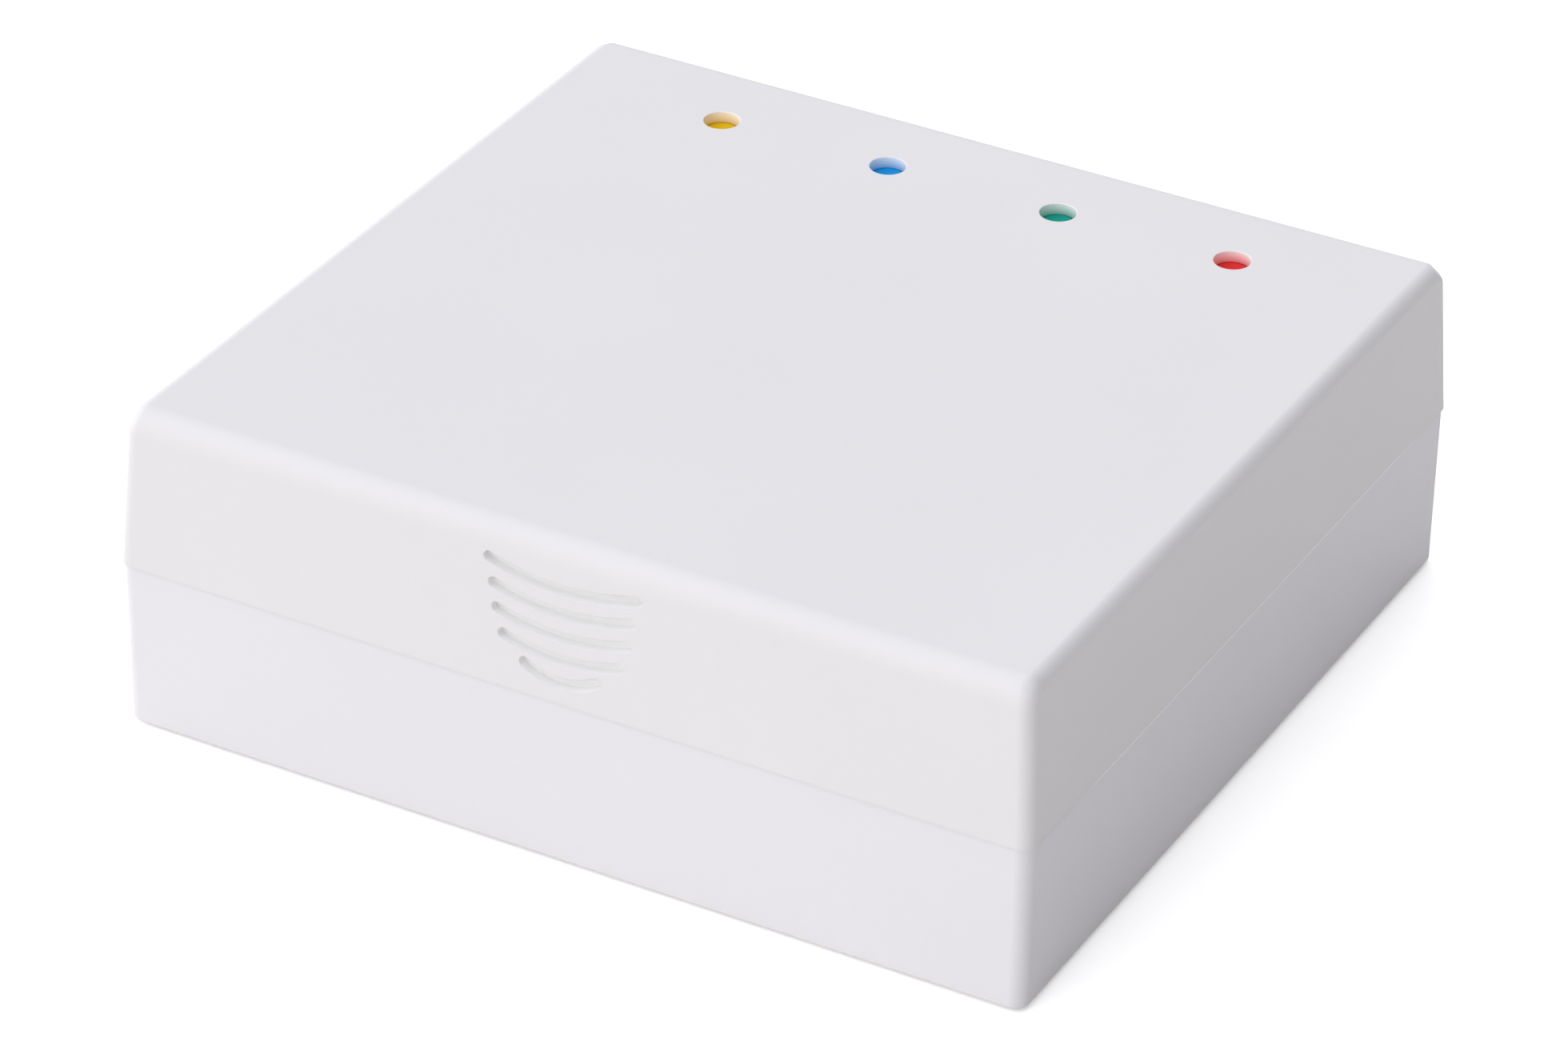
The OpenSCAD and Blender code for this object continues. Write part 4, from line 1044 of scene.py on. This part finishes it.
def dress(context, group):
    """Replaces each node of a group by its soft-edged copy in its own material."""
    for node, name, width in group:
        slot = slot_of(node)
        piece = soft_copy(name, node, width * MM)
        finish_piece(piece, node, context.scene[slot + "_material"])


def slot_of(node):
    """The record's material slot of a node."""
    return next(part["material_slot"] for part in frame["record"]["subparts"]
                if part["node"] == node)


class TERMINAL_OT_lenses(bpy.types.Operator):
    """Rounds the edges of the four coloured light pipes"""
    bl_idname = "terminal.lenses"
    bl_label = "Lenses"

    def execute(self, context):
        dress(context, [(node, node.replace("light_pipe", "lens"), 0.15) for node in LENS_NODES])
        return {"FINISHED"}


class TERMINAL_OT_sockets(bpy.types.Operator):
    """Rounds the edges of the network, optical and power sockets"""
    bl_idname = "terminal.sockets"
    bl_label = "Sockets"

    def execute(self, context):
        dress(context, [("lan_jack_housing", "network_socket", 0.12),
                        ("lan_jack_shield", "network_socket_shell", 0.06),
                        ("lan_jack_contacts", "network_socket_contacts", 0.04),
                        ("optical_adapter", "optical_socket", 0.15),
                        ("optical_shutter", "optical_socket_flap", 0.08),
                        ("shutter_pin", "flap_pin", 0.08),
                        ("ferrule_receptacle", "ferrule_barrel", 0.12),
                        ("ceramic_sleeve", "ferrule_sleeve", 0.06),
                        ("dc_jack_body", "power_socket", 0.15),
                        ("dc_jack_pin", "power_socket_pin", 0.1),
                        ("dc_jack_spring", "power_socket_spring", 0.06)])
        return {"FINISHED"}


class TERMINAL_OT_controls(bpy.types.Operator):
    """Rounds the edges of the power button, the reset plunger and their switches"""
    bl_idname = "terminal.controls"
    bl_label = "Buttons"

    def execute(self, context):
        dress(context, [("power_button", "power_key", 0.15),
                        ("power_switch", "power_key_switch", 0.12),
                        ("reset_plunger", "reset_key", 0.15),
                        ("reset_switch", "reset_key_switch", 0.1)])
        return {"FINISHED"}


class TERMINAL_OT_fixings(bpy.types.Operator):
    """Rounds the edges of the feet and the screws"""
    bl_idname = "terminal.fixings"
    bl_label = "Feet and screws"

    def execute(self, context):
        dress(context, [("rubber_feet", "feet", 0.12),
                        ("case_screws", "cover_screws", 0.1),
                        ("board_screws", "circuit_screws", 0.1)])
        return {"FINISHED"}


class TERMINAL_OT_circuit(bpy.types.Operator):
    """Rounds the edges of the board and the parts on it"""
    bl_idname = "terminal.circuit"
    bl_label = "Circuit board"

    def execute(self, context):
        dress(context, [("main_board", "circuit_board", 0.08),
                        ("status_leds", "indicator_lamps", 0.1),
                        ("lan_transformer", "transformer_package", 0.05),
                        ("transceiver_block", "transceiver_housing", 0.15),
                        ("laser_can", "laser_housing", 0.08),
                        ("photodiode_can", "photodiode_housing", 0.08),
                        ("network_processor", "processor_package", 0.1),
                        ("thermal_pad", "processor_pad", 0.12),
                        ("heat_sink", "finned_cooler", 0.15),
                        ("memory_chip", "memory_package", 0.03),
                        ("flash_chip", "flash_package", 0.03),
                        ("smoothing_capacitors", "small_capacitors", 0.12),
                        ("backup_capacitor", "large_capacitor", 0.12),
                        ("power_inductors", "wound_cores", 0.1),
                        ("crystal", "crystal_can", 0.12)])
        return {"FINISHED"}


# ---- Scene ----

class TERMINAL_OT_materials(bpy.types.Operator):
    """Makes the finishes and gives each carried-over piece its own"""
    bl_idname = "terminal.materials"
    bl_label = "Finishes"

    def execute(self, context):
        made = make_finishes()
        for slot, material in made.items():
            context.scene[slot + "_material"] = material
        for part in frame["record"]["subparts"]:
            mesh = frame["nodes"][part["node"]].data
            if not mesh.materials:
                mesh.materials.append(None)
            for index in range(len(mesh.materials)):
                mesh.materials[index] = made[part["material_slot"]]
        return {"FINISHED"}


class TERMINAL_OT_stage(bpy.types.Operator):
    """Sets up the floor, the soft lamps and the camera"""
    bl_idname = "terminal.stage"
    bl_label = "Stage"

    def execute(self, context):
        stage = studio()
        self.floor()
        self.sky(context.scene)
        lamp("front_lamp", stage.lamp_place, stage.lamp_size, stage.lamp_power)
        self.camera(context.scene)
        context.scene.view_settings.view_transform = "Standard"
        return {"FINISHED"}

    @staticmethod
    def floor():
        """A pale floor that the camera sees white, with the object's shadow on it."""
        bpy.ops.object.select_all(action="DESELECT")
        bpy.ops.mesh.primitive_plane_add(size=studio().floor_size, location=(0, 0, 0))
        floor = settle("floor")
        tone, white, lift = studio().floor_tone, studio().floor_white, studio().floor_lift
        finish = Finish("pale_floor", tone, 1.0, Specular_IOR_Level=0.0, Emission_Strength=1.0)
        seen = finish.seen_rays()
        finish.vary(Base_Color=finish.mix(seen, tuple(tone), tuple(white)),
                    Emission_Color=finish.mix(seen, (0, 0, 0), (lift, lift, lift)))
        floor.data.materials.append(finish.material)

    @staticmethod
    def sky(scene):
        """Soft light from all round, brighter from the left, the front and above."""
        world = bpy.data.worlds.new("pale_sky")
        scene.world = world
        world.use_nodes = True
        desk = NodeDesk(world.node_tree)
        background = desk.tree.nodes["Background"]
        stage = studio()
        heading = desk.node("ShaderNodeTexCoord", output="Generated")
        towards = Vector(stage.sky_side).normalized()
        facing = desk.node("ShaderNodeVectorMath", {"operation": "DOT_PRODUCT"},
                           {0: heading, 1: towards}, "Value")
        level = (stage.sky + stage.sky_slope * facing).at_least(0).at_most(stage.sky_limit)
        seen = desk.seen_rays()
        desk.feed(background.inputs["Strength"], level + seen * (1 - level))
        height = desk.node("ShaderNodeSeparateXYZ", None, {"Vector": heading}, "Z").at_least(0)
        tint = desk.mix(height, tuple(stage.sky_low), tuple(stage.sky_high))
        desk.feed(background.inputs["Color"], desk.mix(seen, tint, (1, 1, 1)))

    @staticmethod
    def camera(scene):
        stage = studio()
        data = bpy.data.cameras.new("camera")
        data.lens = stage.lens
        data.sensor_width = 36
        data.clip_end = 20
        camera = bpy.data.objects.new("camera", data)
        scene.collection.objects.link(camera)
        camera.location = stage.camera_place
        camera.rotation_euler = stage.camera_turn
        scene.camera = camera


def lamp(name, place, size, power):
    """A large square lamp that faces the object."""
    data = bpy.data.lights.new(name, "AREA")
    data.shape = "SQUARE"
    data.size = size
    data.energy = power
    obj = bpy.data.objects.new(name, data)
    bpy.context.scene.collection.objects.link(obj)
    obj.location = place
    aim = Vector((0, 0, 0.02)) - Vector(place)
    obj.rotation_euler = aim.to_track_quat("-Z", "Y").to_euler()


class TERMINAL_PT_panel(bpy.types.Panel):
    """Sizes, colours and steps of the terminal"""
    bl_label = "Optical Network Terminal"
    bl_idname = "TERMINAL_PT_panel"
    bl_space_type = "VIEW_3D"
    bl_region_type = "UI"
    bl_category = "Terminal"

    def draw(self, context):
        for title, group in (("Case", sizes()), ("Details", details()),
                             ("Colours", finishes()), ("Stage", studio())):
            box = self.layout.box()
            box.label(text=title)
            for key in group.bl_rna.properties.keys():
                if key not in ("rna_type", "name"):
                    box.prop(group, key)
        for step in STEPS:
            self.layout.operator(step.bl_idname)


GROUPS = {"terminal_case": CaseSizes, "terminal_details": DetailSizes,
          "terminal_finishes": Finishes, "terminal_stage": StageSettings}
STEPS = [TERMINAL_OT_materials, TERMINAL_OT_cover, TERMINAL_OT_base, TERMINAL_OT_lenses,
         TERMINAL_OT_sockets, TERMINAL_OT_controls, TERMINAL_OT_fixings, TERMINAL_OT_circuit,
         TERMINAL_OT_stage]


def register():
    for group in GROUPS.values():
        bpy.utils.register_class(group)
    for name, group in GROUPS.items():
        setattr(bpy.types.Scene, name, PointerProperty(type=group))
    for step in STEPS + [TERMINAL_PT_panel]:
        bpy.utils.register_class(step)


def unregister():
    for step in [TERMINAL_PT_panel] + STEPS[::-1]:
        bpy.utils.unregister_class(step)
    for name, group in GROUPS.items():
        delattr(bpy.types.Scene, name)
        bpy.utils.unregister_class(group)


def main():
    register()
    for step in STEPS:
        group, name = step.bl_idname.split(".")
        getattr(getattr(bpy.ops, group), name)()


if __name__ == "__main__":
    main()
